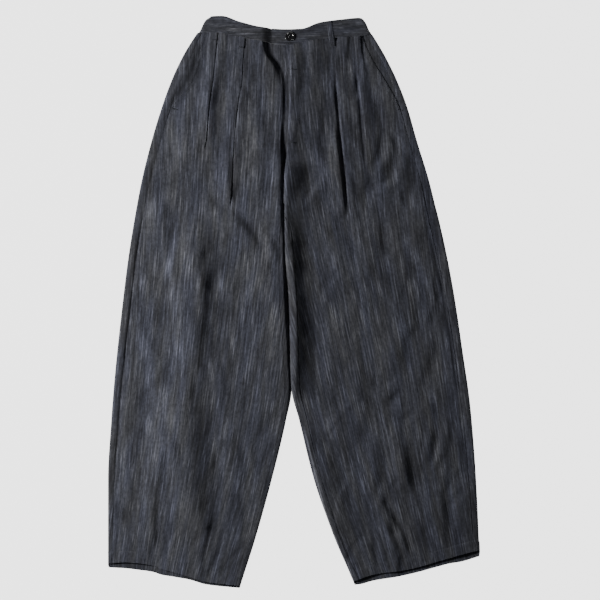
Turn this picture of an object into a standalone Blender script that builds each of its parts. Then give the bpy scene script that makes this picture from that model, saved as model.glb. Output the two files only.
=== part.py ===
"""Balloon pants laid flat: pleated fronts, wrapped backs, waistband, loops, pocket facings, fly and button.

Units are millimetres in the tables and metres in the meshes. +Y runs from the hems to the waist, +Z is up
and +X points to the wearer's left. The origin is at the middle of the footprint, on the surface below.
"""

import math

import bmesh
import bpy
import numpy as np

MM = 0.001

# Cloth and seams
WALL = 1.0
BAND_WALL = 2.0
SEAM_GAP = 0.3
WAIST_GAP = 0.6
LAYER_STEP = 1.6
HALF_SEAM = SEAM_GAP / 2
COVER = WALL + SEAM_GAP

# Levels of the middle of each wall above the surface below
BACK_LEVEL = WALL / 2
LOOP_LEVEL = WALL / 2
BACK_WAIST_LEVEL = LOOP_LEVEL + COVER
BAND_BACK_LEVEL = LOOP_LEVEL + WALL / 2 + SEAM_GAP + BAND_WALL / 2
BAND_UNDER_LEVEL = BAND_BACK_LEVEL + BAND_WALL + SEAM_GAP
BAND_FRONT_LEVEL = BAND_UNDER_LEVEL + BAND_WALL + SEAM_GAP
FRONT_LEVEL_LEG = 4.3
FRONT_LEVEL_WAIST = 4.9
FOLD_CLEARANCE = 0.2
FRONT_LEVEL_MIN = BACK_LEVEL + COVER + FOLD_CLEARANCE

# Folded edges
EDGE_ROUND = 5.0
EDGE_STEP = 3.3
EDGE_DEGREES = (90, 45, 0, -45, -90)
CENTRE_STEP = 1.5
BAND_EDGE_ROUND = 6.0
BAND_EDGE_DEGREES = (55, 20, -20, -55)

# Heights along the garment
WAIST_Y = 479.0
LEVEL_RISE_END_Y = 440.0
LEVEL_RISE_START_Y = 300.0
BACK_RAISED_Y = 452.0
BACK_FLAT_Y = 425.0
FLY_END_Y = 286.0
LAP_DIPS_FROM_Y = 261.0
LAP_DIPPED_Y = 216.0
CROTCH_Y = 172.0
SEAM_ON_TOP_Y = 128.0
CROTCH_GAP_FROM_Y = 98.0
CROTCH_EXTRA_GAP = 0.8
EVEN_START_Y = 190.0
EVEN_END_Y = 20.0
HEM_Y = -515.0
WAIST_BLEND = 90.0
HEM_BLEND = 100.0
BACK_HEM_DROP = 4.0
HEM_DROP_FULL_LEVEL = BACK_LEVEL + 0.5
HEM_DROP_NONE_LEVEL = BACK_LEVEL + 2.5

# Shares of the way between the main columns of a section
OUTER_SHARES = (0.0, 0.33, 0.66)
BETWEEN_PLEAT_SHARES = (0.3, 0.65)
INNER_SHARES = (0.12, 0.37, 0.62, 0.85)
UNDER_SHARES = (0.25, 0.5, 0.75)
FACING_SHARES = (0.0, 0.25, 0.5, 0.75, 1.0)
FLY_FACING_SHARES = (0.0, 0.33, 0.66, 1.0)

# Inner end of a front. Columns: distance from its end, share of the dip under the other front
LAP_STEPS = ((10.0, 0.0), (5.5, 0.1), (2.2, 0.45), (0.0, 1.0))
LAP_LIFT = 0.3
CREASE_LIFT = 0.35
CREASE_SHOULDER = 10.0
CREASE_TURN = 5.0
CREASE_TURN_DIP = 0.15
CREASE_MARGIN = 0.8
INSEAM_UNDER_SHARE = 0.85
INSEAM_MIN_INSET = 2.0
PLEAT_MARGIN = 3.0

# Columns: height, outer folded edge, side seam, slant pocket edge, outer pleat, inner pleat,
# inner end of the front panel, inner folded edge
RIGHT_LINES = (
    (479, -174, -166, -157, -137, -89, -22, -17),
    (463, -185, -174, -165, -139, -90, -20, -17),
    (436, -202, -186, -171, -142, -92, -14, -17),
    (400, -220, -202, -184, -146, -94, -6, -17),
    (351, -238, -222, -220, -153, -102, -5, -17),
    (292, -256, -239, -239, -158, -108, -7, -17),
    (220, -274, -258, -258, -166, -112, -17.6, -17.0),
    (157, -286, -271, -271, -175, -115, -23, -17.0),
    (76, -299, -284, -284, -185, -119, -27, -15.5),
    (4, -308, -292, -292, -196, -122, -26, -12.7),
    (-104, -320, -305, -305, -214, -131, -19, -6.7),
    (-158, -325, -310, -310, -222, -136, -17, -4.6),
    (-212, -329, -315, -315, -230, -140, -24, -14),
    (-320, -335, -323, -323, -242, -148, -49, -40),
    (-428, -335, -326, -326, -251, -160, -78, -70),
    (-515, -335, -328, -328, -259, -169, -104, -97),
)
LEFT_LINES = (
    (479, 141, 130, 123, 109, 79, -23, -16.4),
    (463, 151, 139, 128, 110, 77, -23, -16.4),
    (436, 167, 156, 140, 113, 75, -18, -16.4),
    (400, 185, 174, 163, 116, 76, -10, -16.4),
    (351, 204, 191, 189, 122, 80, -9, -16.4),
    (292, 221, 206, 206, 130, 86, -11, -16.4),
    (220, 243, 227, 227, 140, 94, -16, -16.4),
    (183, 252, 235, 235, 145, 99, -15.6, -16.4),
    (157, 259, 240, 240, 148, 102, -9, -16.4),
    (76, 277, 259, 259, 155, 108, 1, -15.0),
    (4, 290, 274, 274, 160, 113, 6, -12.2),
    (-104, 306, 290, 290, 169, 121, 9, -6.2),
    (-158, 314, 297, 297, 175, 125, 12, -4.0),
    (-212, 320, 304, 304, 183, 130, 24, 9),
    (-320, 328, 314, 314, 206, 146, 50, 36),
    (-428, 333, 322, 322, 244, 162, 85, 74),
    (-515, 335, 327, 327, 266, 180, 117, 108),
)

# Columns: across, waist seam height, waistband top height
WAIST_CURVE = (
    (-176, 484, 490),
    (-157, 485, 513.5),
    (-130, 484, 514.6),
    (-97, 476, 504),
    (-58, 469, 494),
    (-16, 462, 490.5),
    (13, 467, 491.5),
    (47, 473, 503),
    (83, 476, 508),
    (117, 478, 511),
    (137, 481, 505),
)
# Columns: height, wearer's right outline, wearer's left outline
BAND_OUTLINE = (
    (476, -176, 143),
    (484, -172, 139),
    (493, -168, 134.5),
    (502, -164, 131),
    (508, -159, 127),
    (513, -151, 119),
)

# Columns: across, height of the front hem
RIGHT_HEM = (
    (-336, -471),
    (-307, -466),
    (-274, -468),
    (-253, -472),
    (-239, -480),
    (-217, -486),
    (-184, -497),
    (-158, -504),
    (-97, -511),
)
LEFT_HEM = (
    (104, -504),
    (142, -491),
    (203, -482),
    (263, -466),
    (311, -452),
    (336, -446),
)

# Centre front crease. Columns: height, across
CREASE_LINE = (
    (479, -52),
    (455, -47),
    (437, -29),
    (419, -20),
    (391, -16),
    (340, -16),
    (319, -18),
    (283, -20),
    (247, -18.4),
    (175, -18.4),
)

# Columns: pleat depth at the waist, height where the pleat ends
RIGHT_PLEATS = {"outer": (11.0, 297.0), "inner": (15.0, 196.0)}
LEFT_PLEATS = {"outer": (8.0, 247.0), "inner": (15.0, 175.0)}
PLEAT_CLOSED_DEPTH = 2.4
PLEAT_RELEASE = 55.0
PLEAT_LEAN = 0.25
PLEAT_OPEN_OFFSETS = (-16.0, -10.0, -6.0, -2.0, 2.0, 6.0, 10.0)
PLEAT_TOP_REACH = 1.5

# The ends of a fold keep this share of its rise, which fades in at this rate
FOLD_END_SHARE = 0.25
FOLD_FADE_RATE = 3.5

# The largest folds. Columns: rise (a trough is below zero), width to its left and to its right looking
# down the leg from its first point, then the points of its line
RIGHT_FOLDS = (
    (2.0, 30, 16, ((-32, 420), (-34, 330), (-33, 240), (-36, 190))),
    (-1.8, 14, 14, ((-48, 320), (-36, 285), (-26, 262))),
    (5.0, 50, 22, ((-165, 140), (-168, 94), (-158, 56), (-164, 4), (-172, -60), (-176, -110))),
    (8.0, 70, 36, ((-186, -150), (-184, -248), (-184, -320), (-186, -410))),
    (-2.0, 14, 14, ((-172, 215), (-134, 180), (-100, 162), (-60, 112))),
    (2.4, 20, 18, ((-160, 176), (-126, 148), (-84, 118))),
    (2.0, 18, 16, ((-228, 70), (-210, 20), (-190, -30))),
    (2.5, 22, 16, ((-143, -66), (-138, -112), (-128, -180))),
    (2.8, 34, 16, ((-240, -236), (-246, -320), (-254, -400), (-258, -450))),
    (3.0, 34, 16, ((-148, -366), (-162, -430), (-173, -500))),
    (1.4, 18, 18, ((-285, 150), (-292, 40), (-300, -80), (-306, -200))),
)
LEFT_FOLDS = (
    (1.2, 30, 30, ((-24, 560), (-10, 420), (-12, 200))),
    (1.6, 14, 30, ((34, 400), (36, 330), (42, 240))),
    (2.6, 12, 36, ((-2, 262), (-2, 235), (-4, 205))),
    (-2.0, 14, 14, ((160, 300), (156, 262), (136, 232))),
    (2.2, 16, 14, ((176, 300), (170, 258), (148, 222))),
    (-2.0, 14, 14, ((151, 148), (158, 104), (182, 116), (208, 140))),
    (2.2, 16, 16, ((136, 150), (136, 110), (146, 82))),
    (-1.8, 14, 16, ((104, 33), (150, 31), (216, 34))),
    (3.0, 36, 18, ((206, 5), (194, -50), (180, -110))),
    (3.0, 16, 34, ((242, 12), (230, -55), (214, -120))),
    (-2.0, 16, 16, ((223, -5), (212, -50), (198, -115), (190, -145))),
    (2.4, 20, 60, ((36, 160), (40, 90), (46, 0), (50, -170))),
    (-2.2, 16, 16, ((208, -244), (211, -292), (216, -342))),
    (3.0, 22, 16, ((190, -235), (198, -300), (222, -370))),
    (-2.0, 14, 14, ((284, -206), (280, -262), (262, -300), (258, -332))),
    (2.6, 16, 14, ((268, -222), (262, -262), (246, -302))),
    (-1.8, 14, 14, ((158, -340), (194, -406), (216, -452))),
    (2.6, 20, 14, ((146, -342), (180, -408), (204, -458))),
)

# Pocket mouths, fly, loops and button
POCKET_MOUTH_END_Y = 345.0
POCKET_UNDERLAP = 12.0
FLY_FACING_WIDTH = 24.0
FLY_FACING_INSET = 0.5
BAND_SIDE_SEAM_Y = 484.0
BAND_SIDE_TOP_Y = 513.0
BAND_ROW_SHARES = (0.0, 0.3, 0.6, 0.85, 1.0)
BAND_LAP_END_X = -39.0
BAND_UNDERLAP_END_X = -12.0
BAND_DIP_START_X = -56.0
BAND_DIP_END_X = -41.5
BAND_BACK_TOP_DROP = 1.5
BAND_FRONT_SHARES = (0.0, 0.08, 0.17, 0.24, 0.31, 0.45, 0.6, 0.75, 0.88, 1.0)
BAND_BACK_SHARES = (0.0, 0.2, 0.4, 0.6, 0.8, 1.0)
LOOP_WIDTH = 10.0
LOOP_LENGTH = 45.0
LOOP_TOP_INSET = 1.0
LOOP_TOP_SHARES = (0.0, 0.3)
LOOP_SEAM_SHARE = 0.7
LOOP_LOW_SHARES = (0.82, 1.0)
# Columns: top middle across, bottom middle across, level of the lower end
FRONT_LOOPS = {
    "belt_loop_front_right": (-89.5, -95.0, FRONT_LEVEL_WAIST + 2 * LAYER_STEP + COVER),
    "belt_loop_front_left": (63.0, 69.5, FRONT_LEVEL_WAIST + COVER),
}
BACK_LOOPS = {
    "belt_loop_back_right": -95.0,
    "belt_loop_back_centre": -16.7,
    "belt_loop_back_left": 66.0,
}
BUTTON_CENTRE = (-7.2, 477.0)
BUTTON_RADIUS = 8.5
BUTTON_HEIGHT = 2.8
BUTTON_WELL_RADIUS = 5.0
BUTTON_WELL_DEPTH = 0.7
BUTTON_EDGE = 0.8
BUTTON_SIDES = 28

# Rows of each leg's sections: from height, to height, count of rows
ROW_BANDS = (
    (WAIST_Y, 196.0, 11),
    (183.0, 111.0, 7),
    (84.0, -404.0, 13),
    (-436.0, HEM_Y, 4),
)


def smoothstep(start, end, value):
    t = np.clip((value - start) / (end - start), 0.0, 1.0)
    return t * t * (3 - 2 * t)


class Curve:
    """A smooth line through table rows that never overshoots them."""

    def __init__(self, table, column=1):
        rows = sorted(((row[0], row[column]) for row in table), key=lambda row: row[0])
        self.x = np.array([row[0] for row in rows], dtype=float)
        self.y = np.array([row[1] for row in rows], dtype=float)
        step = np.diff(self.x)
        slope = np.diff(self.y) / step
        tangent = np.zeros(len(self.x))
        tangent[0] = slope[0]
        tangent[-1] = slope[-1]
        for i in range(1, len(self.x) - 1):
            if slope[i - 1] * slope[i] > 0:
                tangent[i] = 2 * slope[i - 1] * slope[i] / (slope[i - 1] + slope[i])
        self.tangent = tangent

    def __call__(self, value):
        value = min(max(value, self.x[0]), self.x[-1])
        i = min(max(int(np.searchsorted(self.x, value)) - 1, 0), len(self.x) - 2)
        h = self.x[i + 1] - self.x[i]
        t = (value - self.x[i]) / h
        a = (1 + 2 * t) * (1 - t) ** 2 * self.y[i]
        b = t * (1 - t) ** 2 * h * self.tangent[i]
        c = t * t * (3 - 2 * t) * self.y[i + 1]
        d = t * t * (t - 1) * h * self.tangent[i + 1]
        return a + b + c + d


WAIST_SEAM = Curve(WAIST_CURVE, 1)
WAIST_TOP = Curve(WAIST_CURVE, 2)
CREASE = Curve(CREASE_LINE)


def fold_height(folds, x, y):
    """Height added by the soft folds at one place of a leg."""
    total = 0.0
    for rise, left, right, points in folds:
        best = 0.0
        lengths = [math.dist(points[i], points[i + 1]) for i in range(len(points) - 1)]
        whole = sum(lengths)
        run = 0.0
        for i, length in enumerate(lengths):
            ax, ay = points[i]
            bx, by = points[i + 1]
            t = ((x - ax) * (bx - ax) + (y - ay) * (by - ay)) / (length * length)
            t = min(max(t, 0.0), 1.0)
            away = math.hypot(x - ax - t * (bx - ax), y - ay - t * (by - ay))
            side = (bx - ax) * (y - ay) - (by - ay) * (x - ax)
            width = right if side > 0 else left
            along = (run + t * length) / whole
            fade = min(1.0, FOLD_FADE_RATE * min(along, 1 - along) + FOLD_END_SHARE)
            if away < width:
                best = max(best, fade * 0.5 * (1 + math.cos(math.pi * away / width)))
            run += length
        total += rise * best
    return total


def back_level(y):
    return BACK_LEVEL + (BACK_WAIST_LEVEL - BACK_LEVEL) * smoothstep(BACK_FLAT_Y, BACK_RAISED_Y, y)


class Leg:
    """One leg's section lines, levels and folded edges."""

    def __init__(self, lines, hem, folds, pleats, inward):
        names = ("outer", "side", "mouth", "pleat_outer", "pleat_inner", "front_end", "inner")
        self.line = {name: Curve(lines, i + 1) for i, name in enumerate(names)}
        self.hem = Curve(hem)
        self.folds = folds
        self.pleats = pleats
        self.inward = inward

    def outer_edge(self, y):
        return self.line["outer"](y) + self.inward * WALL / 2

    def inner_edge(self, y):
        return self.line["inner"](y) - self.inward * WALL / 2

    def top_level(self, x, y):
        rise = smoothstep(LEVEL_RISE_START_Y, LEVEL_RISE_END_Y, y)
        base = FRONT_LEVEL_LEG + (FRONT_LEVEL_WAIST - FRONT_LEVEL_LEG) * rise
        level = base + fold_height(self.folds, x, y)
        return max(level, FRONT_LEVEL_MIN)

    def place(self, x, z, row_y):
        """Height along the garment of one section point, bent to the waist seam and the hem."""
        near_waist = smoothstep(WAIST_Y - WAIST_BLEND, WAIST_Y, row_y)
        near_hem = smoothstep(HEM_Y + HEM_BLEND, HEM_Y, row_y)
        drop = BACK_HEM_DROP * smoothstep(HEM_DROP_NONE_LEVEL, HEM_DROP_FULL_LEVEL, z)
        to_waist = WAIST_SEAM(x) - WAIST_GAP - WAIST_Y
        to_hem = self.hem(x) - drop - HEM_Y
        return row_y + near_waist * to_waist + near_hem * to_hem

    def inner_turn(self, sigma, y):
        """Point on the inner folded edge, sigma along it from where the top begins to turn down."""
        inward = self.inward
        edge = self.inner_edge(y)
        start = edge - inward * EDGE_ROUND
        if sigma <= 0:
            x = start + inward * sigma
            return x, self.top_level(x, y)
        top = self.top_level(start, y)
        low = back_level(y)
        half = (top - low) / 2
        length = half_ellipse_length(EDGE_ROUND, half)
        if sigma >= length:
            return start - inward * (sigma - length), low
        angle = ellipse_angle(EDGE_ROUND, half, sigma)
        return start + inward * EDGE_ROUND * math.cos(angle), low + half + half * math.sin(angle)

    def seam_sigma(self, y):
        """Where the inseam lies along the inner edge: under it at the crotch, on top of it further down."""
        top = self.top_level(self.inner_edge(y) - self.inward * EDGE_ROUND, y)
        length = half_ellipse_length(EDGE_ROUND, (top - back_level(y)) / 2)
        inside = abs(self.inner_edge(y) - self.line["front_end"](y)) - EDGE_ROUND
        start = INSEAM_UNDER_SHARE * length
        return start + (-max(inside, INSEAM_MIN_INSET) - start) * smoothstep(CROTCH_Y, SEAM_ON_TOP_Y, y)

    def half_gap(self, y):
        """Half the gap at the inseam, a little wider where the seam rolls round the edge."""
        return HALF_SEAM + CROTCH_EXTRA_GAP * smoothstep(CROTCH_GAP_FROM_Y, SEAM_ON_TOP_Y, y)


def half_ellipse_length(a, b, steps=48):
    angles = np.linspace(math.pi / 2, -math.pi / 2, steps)
    return float(np.sum(np.hypot(np.diff(a * np.cos(angles)), np.diff(b * np.sin(angles)))))


def ellipse_angle(a, b, length, steps=48):
    angles = np.linspace(math.pi / 2, -math.pi / 2, steps)
    runs = np.hypot(np.diff(a * np.cos(angles)), np.diff(b * np.sin(angles)))
    return float(np.interp(length, np.concatenate(([0.0], np.cumsum(runs))), angles))


RIGHT_LEG = Leg(RIGHT_LINES, RIGHT_HEM, RIGHT_FOLDS, RIGHT_PLEATS, 1)
LEFT_LEG = Leg(LEFT_LINES, LEFT_HEM, LEFT_FOLDS, LEFT_PLEATS, -1)


def section_rows():
    rows = []
    for start, end, count in ROW_BANDS:
        rows.extend(np.linspace(start, end, count).tolist())
    return rows


def pleat_columns(leg, name, y):
    """Seven section points of a knife pleat whose outer side laps inward over its inner side."""
    depth_waist, end_y = leg.pleats[name]
    edge = leg.line["pleat_" + name](y)
    inward = leg.inward
    share = np.clip((y - end_y) / (WAIST_Y - end_y), 0.0, 1.0)
    depth = PLEAT_CLOSED_DEPTH + (depth_waist - PLEAT_CLOSED_DEPTH) * share
    closed = smoothstep(end_y - PLEAT_RELEASE, end_y, y)
    turn = LAYER_STEP / 2
    shut = (
        (-(depth + PLEAT_TOP_REACH), 2 * LAYER_STEP),
        (-turn, 2 * LAYER_STEP),
        (0.0, 1.5 * LAYER_STEP),
        (-turn, LAYER_STEP + PLEAT_LEAN),
        (-(depth - turn), LAYER_STEP - PLEAT_LEAN),
        (-depth, 0.5 * LAYER_STEP),
        (-(depth - turn), 0.0),
    )
    ground = leg.top_level(edge, y)
    points = []
    for (offset, rise), loose in zip(shut, PLEAT_OPEN_OFFSETS):
        x = edge + inward * (closed * offset + (1 - closed) * loose)
        smooth = leg.top_level(x, y)
        points.append((x, closed * ground + (1 - closed) * smooth + closed * rise))
    return points


def front_section(leg, y, lap):
    """Section points of a front panel from its outer edge to its inner end."""
    inward = leg.inward
    outer = leg.line["mouth"](y) + inward * HALF_SEAM
    shape = []
    first = pleat_columns(leg, "outer", y)
    second = pleat_columns(leg, "inner", y)
    for t in OUTER_SHARES:
        x = outer + t * (first[0][0] - outer)
        shape.append((x, leg.top_level(x, y)))
    shape.extend(first)
    for t in BETWEEN_PLEAT_SHARES:
        x = first[-1][0] + t * (second[0][0] - first[-1][0])
        x = max(x * inward, leg.line["pleat_outer"](y) * inward + PLEAT_MARGIN) * inward
        shape.append((x, leg.top_level(x, y)))
    shape.extend(second)
    inner = centre_columns(leg, y, lap) if y > CROTCH_Y + 1 else seam_columns(leg, y)
    start = leg.line["pleat_inner"](y) + inward * PLEAT_MARGIN
    for t in INNER_SHARES:
        x = start + t * (inner[0][0] - start)
        shape.append((x, leg.top_level(x, y)))
    shape.extend(inner)
    return spread_evenly(leg, shape, y, len(inner))


def centre_columns(leg, y, lap):
    """Inner end of a front above the crotch: the crease and the underlap, or the fly's lap."""
    inward = leg.inward
    under = back_level(y) + COVER
    end = leg.line["front_end"](y)
    if lap:
        below_fly = smoothstep(LAP_DIPS_FROM_Y, LAP_DIPPED_Y, y)
        points = []
        for offset, dip in LAP_STEPS:
            x = end - inward * offset
            level = leg.top_level(x, y)
            points.append((x, level + below_fly * dip * (under + LAP_LIFT - level)))
        return points
    crease = CREASE(y)
    shoulder = crease - CREASE_SHOULDER
    turn = crease - CREASE_TURN
    turn_level = leg.top_level(turn, y)
    return [
        (shoulder, leg.top_level(shoulder, y)),
        (turn, turn_level + CREASE_TURN_DIP * (under - turn_level)),
        (crease, under + CREASE_LIFT),
        (max(end, crease + CREASE_MARGIN), under),
    ]


def seam_columns(leg, y):
    """Inner end of a front below the crotch, up to the inseam on the folded edge."""
    seam = leg.seam_sigma(y) - leg.half_gap(y)
    return [leg.inner_turn(seam - EDGE_STEP * (3 - k), y) for k in range(4)]


def spread_evenly(leg, shape, y, fixed):
    """Below the pleats the columns drift to even distances across the leg."""
    even = float(smoothstep(EVEN_START_Y, EVEN_END_Y, y))
    if even <= 0:
        return shape
    count = len(shape) - fixed
    start = shape[0][0]
    stop = shape[count][0]
    points = []
    for i in range(count):
        target = start + (stop - start) * i / count
        x = shape[i][0] + even * (target - shape[i][0])
        rise = shape[i][1] - leg.top_level(shape[i][0], y)
        points.append((x, leg.top_level(x, y) + rise))
    return points + shape[count:]


def back_section(leg, y):
    """Section points of a back panel: top of the outer edge, underneath, top of the inner edge."""
    inward = leg.inward
    edge = leg.outer_edge(y)
    side = leg.line["side"](y) - inward * HALF_SEAM
    start = edge + inward * EDGE_ROUND
    low = back_level(y)
    half = (leg.top_level(start, y) - low) / 2
    points = []
    for x in (side, (side + start) / 2):
        points.append((x, leg.top_level(x, y)))
    for degrees in EDGE_DEGREES:
        angle = math.radians(degrees)
        x = start - inward * EDGE_ROUND * math.cos(angle)
        points.append((x, low + half + half * math.sin(angle)))
    if y > CROTCH_Y + 1:
        end = leg.line["inner"](y) - inward * HALF_SEAM
        inner = [(end - inward * CENTRE_STEP * k, low) for k in range(6, -1, -1)]
    else:
        seam = leg.seam_sigma(y) + leg.half_gap(y)
        top = leg.top_level(leg.inner_edge(y) - inward * EDGE_ROUND, y)
        length = half_ellipse_length(EDGE_ROUND, (top - low) / 2)
        reach = length + 1.0
        inner = [leg.inner_turn(reach + (seam - reach) * k / 6, y) for k in range(7)]
    for t in UNDER_SHARES:
        points.append((points[6][0] + t * (inner[0][0] - points[6][0]), low))
    return points + inner


def offset_section(points, thickness):
    """The two faces of a wall, half its thickness to each side of a section line."""
    line = np.array(points, dtype=float)
    step = np.diff(line, axis=0)
    step /= np.linalg.norm(step, axis=1)[:, None]
    normal = np.stack((-step[:, 1], step[:, 0]), axis=1)
    before = np.vstack((normal[:1], normal))
    after = np.vstack((normal, normal[-1:]))
    miter = (before + after) / (1 + np.sum(before * after, axis=1))[:, None]
    half = thickness / 2
    return line + miter * half, line - miter * half


def add_material(obj, name, colour, roughness, metallic=0.0):
    material = bpy.data.materials.new(name)
    material.use_nodes = True
    shader = material.node_tree.nodes["Principled BSDF"]
    shader.inputs["Base Color"].default_value = (*colour, 1.0)
    shader.inputs["Roughness"].default_value = roughness
    shader.inputs["Metallic"].default_value = metallic
    obj.data.materials.append(material)


def add_object(name, bm, colour, roughness=0.9):
    bmesh.ops.recalc_face_normals(bm, faces=bm.faces)
    mesh = bpy.data.meshes.new(name)
    bm.to_mesh(mesh)
    bm.free()
    obj = bpy.data.objects.new(name, mesh)
    bpy.context.scene.collection.objects.link(obj)
    add_material(obj, name + "_material", colour, roughness)
    return obj


def wall_object(name, outer, inner, colour):
    """A closed wall between two grids of points, given in millimetres."""
    bm = bmesh.new()
    rows = len(outer)
    columns = len(outer[0])
    faces = []
    for grid in (outer, inner):
        faces.append([[bm.verts.new([c * MM for c in point]) for point in row] for row in grid])
    top, low = faces
    for j in range(rows - 1):
        for i in range(columns - 1):
            bm.faces.new((top[j][i], top[j][i + 1], top[j + 1][i + 1], top[j + 1][i]))
            bm.faces.new((low[j][i], low[j + 1][i], low[j + 1][i + 1], low[j][i + 1]))
    for i in range(columns - 1):
        bm.faces.new((top[0][i], low[0][i], low[0][i + 1], top[0][i + 1]))
        bm.faces.new((top[-1][i], top[-1][i + 1], low[-1][i + 1], low[-1][i]))
    for j in range(rows - 1):
        bm.faces.new((top[j][0], top[j + 1][0], low[j + 1][0], low[j][0]))
        bm.faces.new((top[j][-1], low[j][-1], low[j + 1][-1], top[j + 1][-1]))
    return add_object(name, bm, colour)


def section_wall(name, leg, rows, section, colour):
    """A wall through one section for each row."""
    outer = []
    inner = []
    for row_y in rows:
        points = section(row_y)
        heights = [leg.place(x, z, row_y) for x, z in points]
        up, down = offset_section(points, WALL)
        outer.append([(x, y, z) for (x, z), y in zip(up, heights)])
        inner.append([(x, y, z) for (x, z), y in zip(down, heights)])
    return wall_object(name, outer, inner, colour)


CLOTH = (0.060, 0.066, 0.085)
CLOTH_DARK = (0.040, 0.044, 0.058)
BUTTON_BLACK = (0.010, 0.010, 0.012)


def make_front(name, leg, lap):
    section_wall(name, leg, section_rows(), lambda y: front_section(leg, y, lap), CLOTH)


def make_back(name, leg):
    section_wall(name, leg, section_rows(), lambda y: back_section(leg, y), CLOTH_DARK)


def make_pocket_facing(name, leg):
    """The hip piece under the pocket mouth, one wall below the front panel."""
    inward = leg.inward
    rows = np.linspace(WAIST_Y, POCKET_MOUTH_END_Y, 7).tolist()

    def section(y):
        start = leg.line["side"](y) + inward * HALF_SEAM
        end = leg.line["mouth"](y) + inward * POCKET_UNDERLAP
        across = [start + t * (end - start) for t in FACING_SHARES]
        return [(x, leg.top_level(x, y) - COVER) for x in across]

    section_wall(name, leg, rows, section, CLOTH_DARK)


def make_fly_facing():
    """The turned strip under the lap of the fly, on the wearer's left front."""
    leg = LEFT_LEG
    rows = np.linspace(WAIST_Y, FLY_END_Y, 9).tolist()

    def section(y):
        start = leg.line["front_end"](y) + FLY_FACING_INSET
        across = [start + t * FLY_FACING_WIDTH for t in FLY_FACING_SHARES]
        return [(x, leg.top_level(x, y) - COVER) for x in across]

    section_wall("fly_facing", leg, rows, section, CLOTH_DARK)


def make_waistband(name, outline_column, leg, front_end, levels):
    """Half a waistband: from its front end over the top, round the side and back underneath."""
    outline = Curve(BAND_OUTLINE, outline_column)
    inward = leg.inward
    centre_back = leg.line["inner"](WAIST_Y) - inward * HALF_SEAM
    half = (BAND_FRONT_LEVEL - BAND_BACK_LEVEL) / 2
    side_seam = WAIST_SEAM(outline(BAND_SIDE_SEAM_Y))
    side_top = WAIST_TOP(outline(BAND_SIDE_TOP_Y))
    outer = []
    inner = []
    for share in BAND_ROW_SHARES:
        corner = side_seam + share * (side_top - side_seam)
        start = outline(corner) + inward * (BAND_WALL / 2 + BAND_EDGE_ROUND)
        points = []
        for t in BAND_FRONT_SHARES:
            x = front_end + t * (start - front_end)
            points.append((x, levels(x)))
        for degrees in BAND_EDGE_DEGREES:
            angle = math.radians(degrees)
            x = start - inward * BAND_EDGE_ROUND * math.cos(angle)
            points.append((x, BAND_BACK_LEVEL + half + half * math.sin(angle)))
        for t in BAND_BACK_SHARES:
            points.append((start + t * (centre_back - start), BAND_BACK_LEVEL))
        up, down = offset_section(points, BAND_WALL)
        heights = []
        for k, (x, _) in enumerate(points):
            seam = WAIST_SEAM(x)
            drop = BAND_BACK_TOP_DROP if k > len(BAND_FRONT_SHARES) + 1 else 0.0
            heights.append(seam + share * (WAIST_TOP(x) - drop - seam))
        outer.append([(x, y, z) for (x, z), y in zip(up, heights)])
        inner.append([(x, y, z) for (x, z), y in zip(down, heights)])
    wall_object(name, outer, inner, CLOTH)


def right_band_level(x):
    """The right half dips under the lap before it ends."""
    dip = smoothstep(BAND_DIP_START_X, BAND_DIP_END_X, x)
    return BAND_FRONT_LEVEL + dip * (BAND_UNDER_LEVEL - BAND_FRONT_LEVEL)


def left_band_level(x):
    return BAND_FRONT_LEVEL


def make_loop(name, top_x, bottom_x, top_level, low_level):
    """A flat belt loop from the band's top edge to a little below the waist seam."""
    top_y = WAIST_TOP(top_x) - LOOP_TOP_INSET
    outer = []
    inner = []
    levels = [(share, top_level) for share in LOOP_TOP_SHARES]
    levels.append((LOOP_SEAM_SHARE, max(top_level, low_level)))
    levels.extend((share, low_level) for share in LOOP_LOW_SHARES)
    for share, z in levels:
        y = top_y - share * LOOP_LENGTH
        middle = top_x + share * (bottom_x - top_x)
        across = [middle + LOOP_WIDTH * t for t in (-0.5, 0.0, 0.5)]
        outer.append([(x, y, z + WALL / 2) for x in across])
        inner.append([(x, y, z - WALL / 2) for x in across])
    wall_object(name, outer, inner, CLOTH)


def make_button():
    """A turned button with a shallow well, resting on the waistband's lap."""
    bm = bmesh.new()
    base = BAND_FRONT_LEVEL + BAND_WALL / 2 + SEAM_GAP
    profile = (
        (BUTTON_RADIUS - BUTTON_EDGE, 0.0),
        (BUTTON_RADIUS, BUTTON_EDGE),
        (BUTTON_RADIUS, BUTTON_HEIGHT - BUTTON_EDGE),
        (BUTTON_RADIUS - BUTTON_EDGE, BUTTON_HEIGHT),
        (BUTTON_WELL_RADIUS + BUTTON_EDGE, BUTTON_HEIGHT),
        (BUTTON_WELL_RADIUS, BUTTON_HEIGHT - BUTTON_WELL_DEPTH),
    )
    rings = []
    for radius, height in profile:
        ring = []
        for k in range(BUTTON_SIDES):
            angle = 2 * math.pi * k / BUTTON_SIDES
            x = BUTTON_CENTRE[0] + radius * math.cos(angle)
            y = BUTTON_CENTRE[1] + radius * math.sin(angle)
            ring.append(bm.verts.new((x * MM, y * MM, (base + height) * MM)))
        rings.append(ring)
    for low, high in zip(rings, rings[1:]):
        for k in range(BUTTON_SIDES):
            n = (k + 1) % BUTTON_SIDES
            bm.faces.new((low[k], low[n], high[n], high[k]))
    bm.faces.new(rings[0][::-1])
    bm.faces.new(rings[-1])
    add_object("waist_button", bm, BUTTON_BLACK, 0.2)


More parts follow.
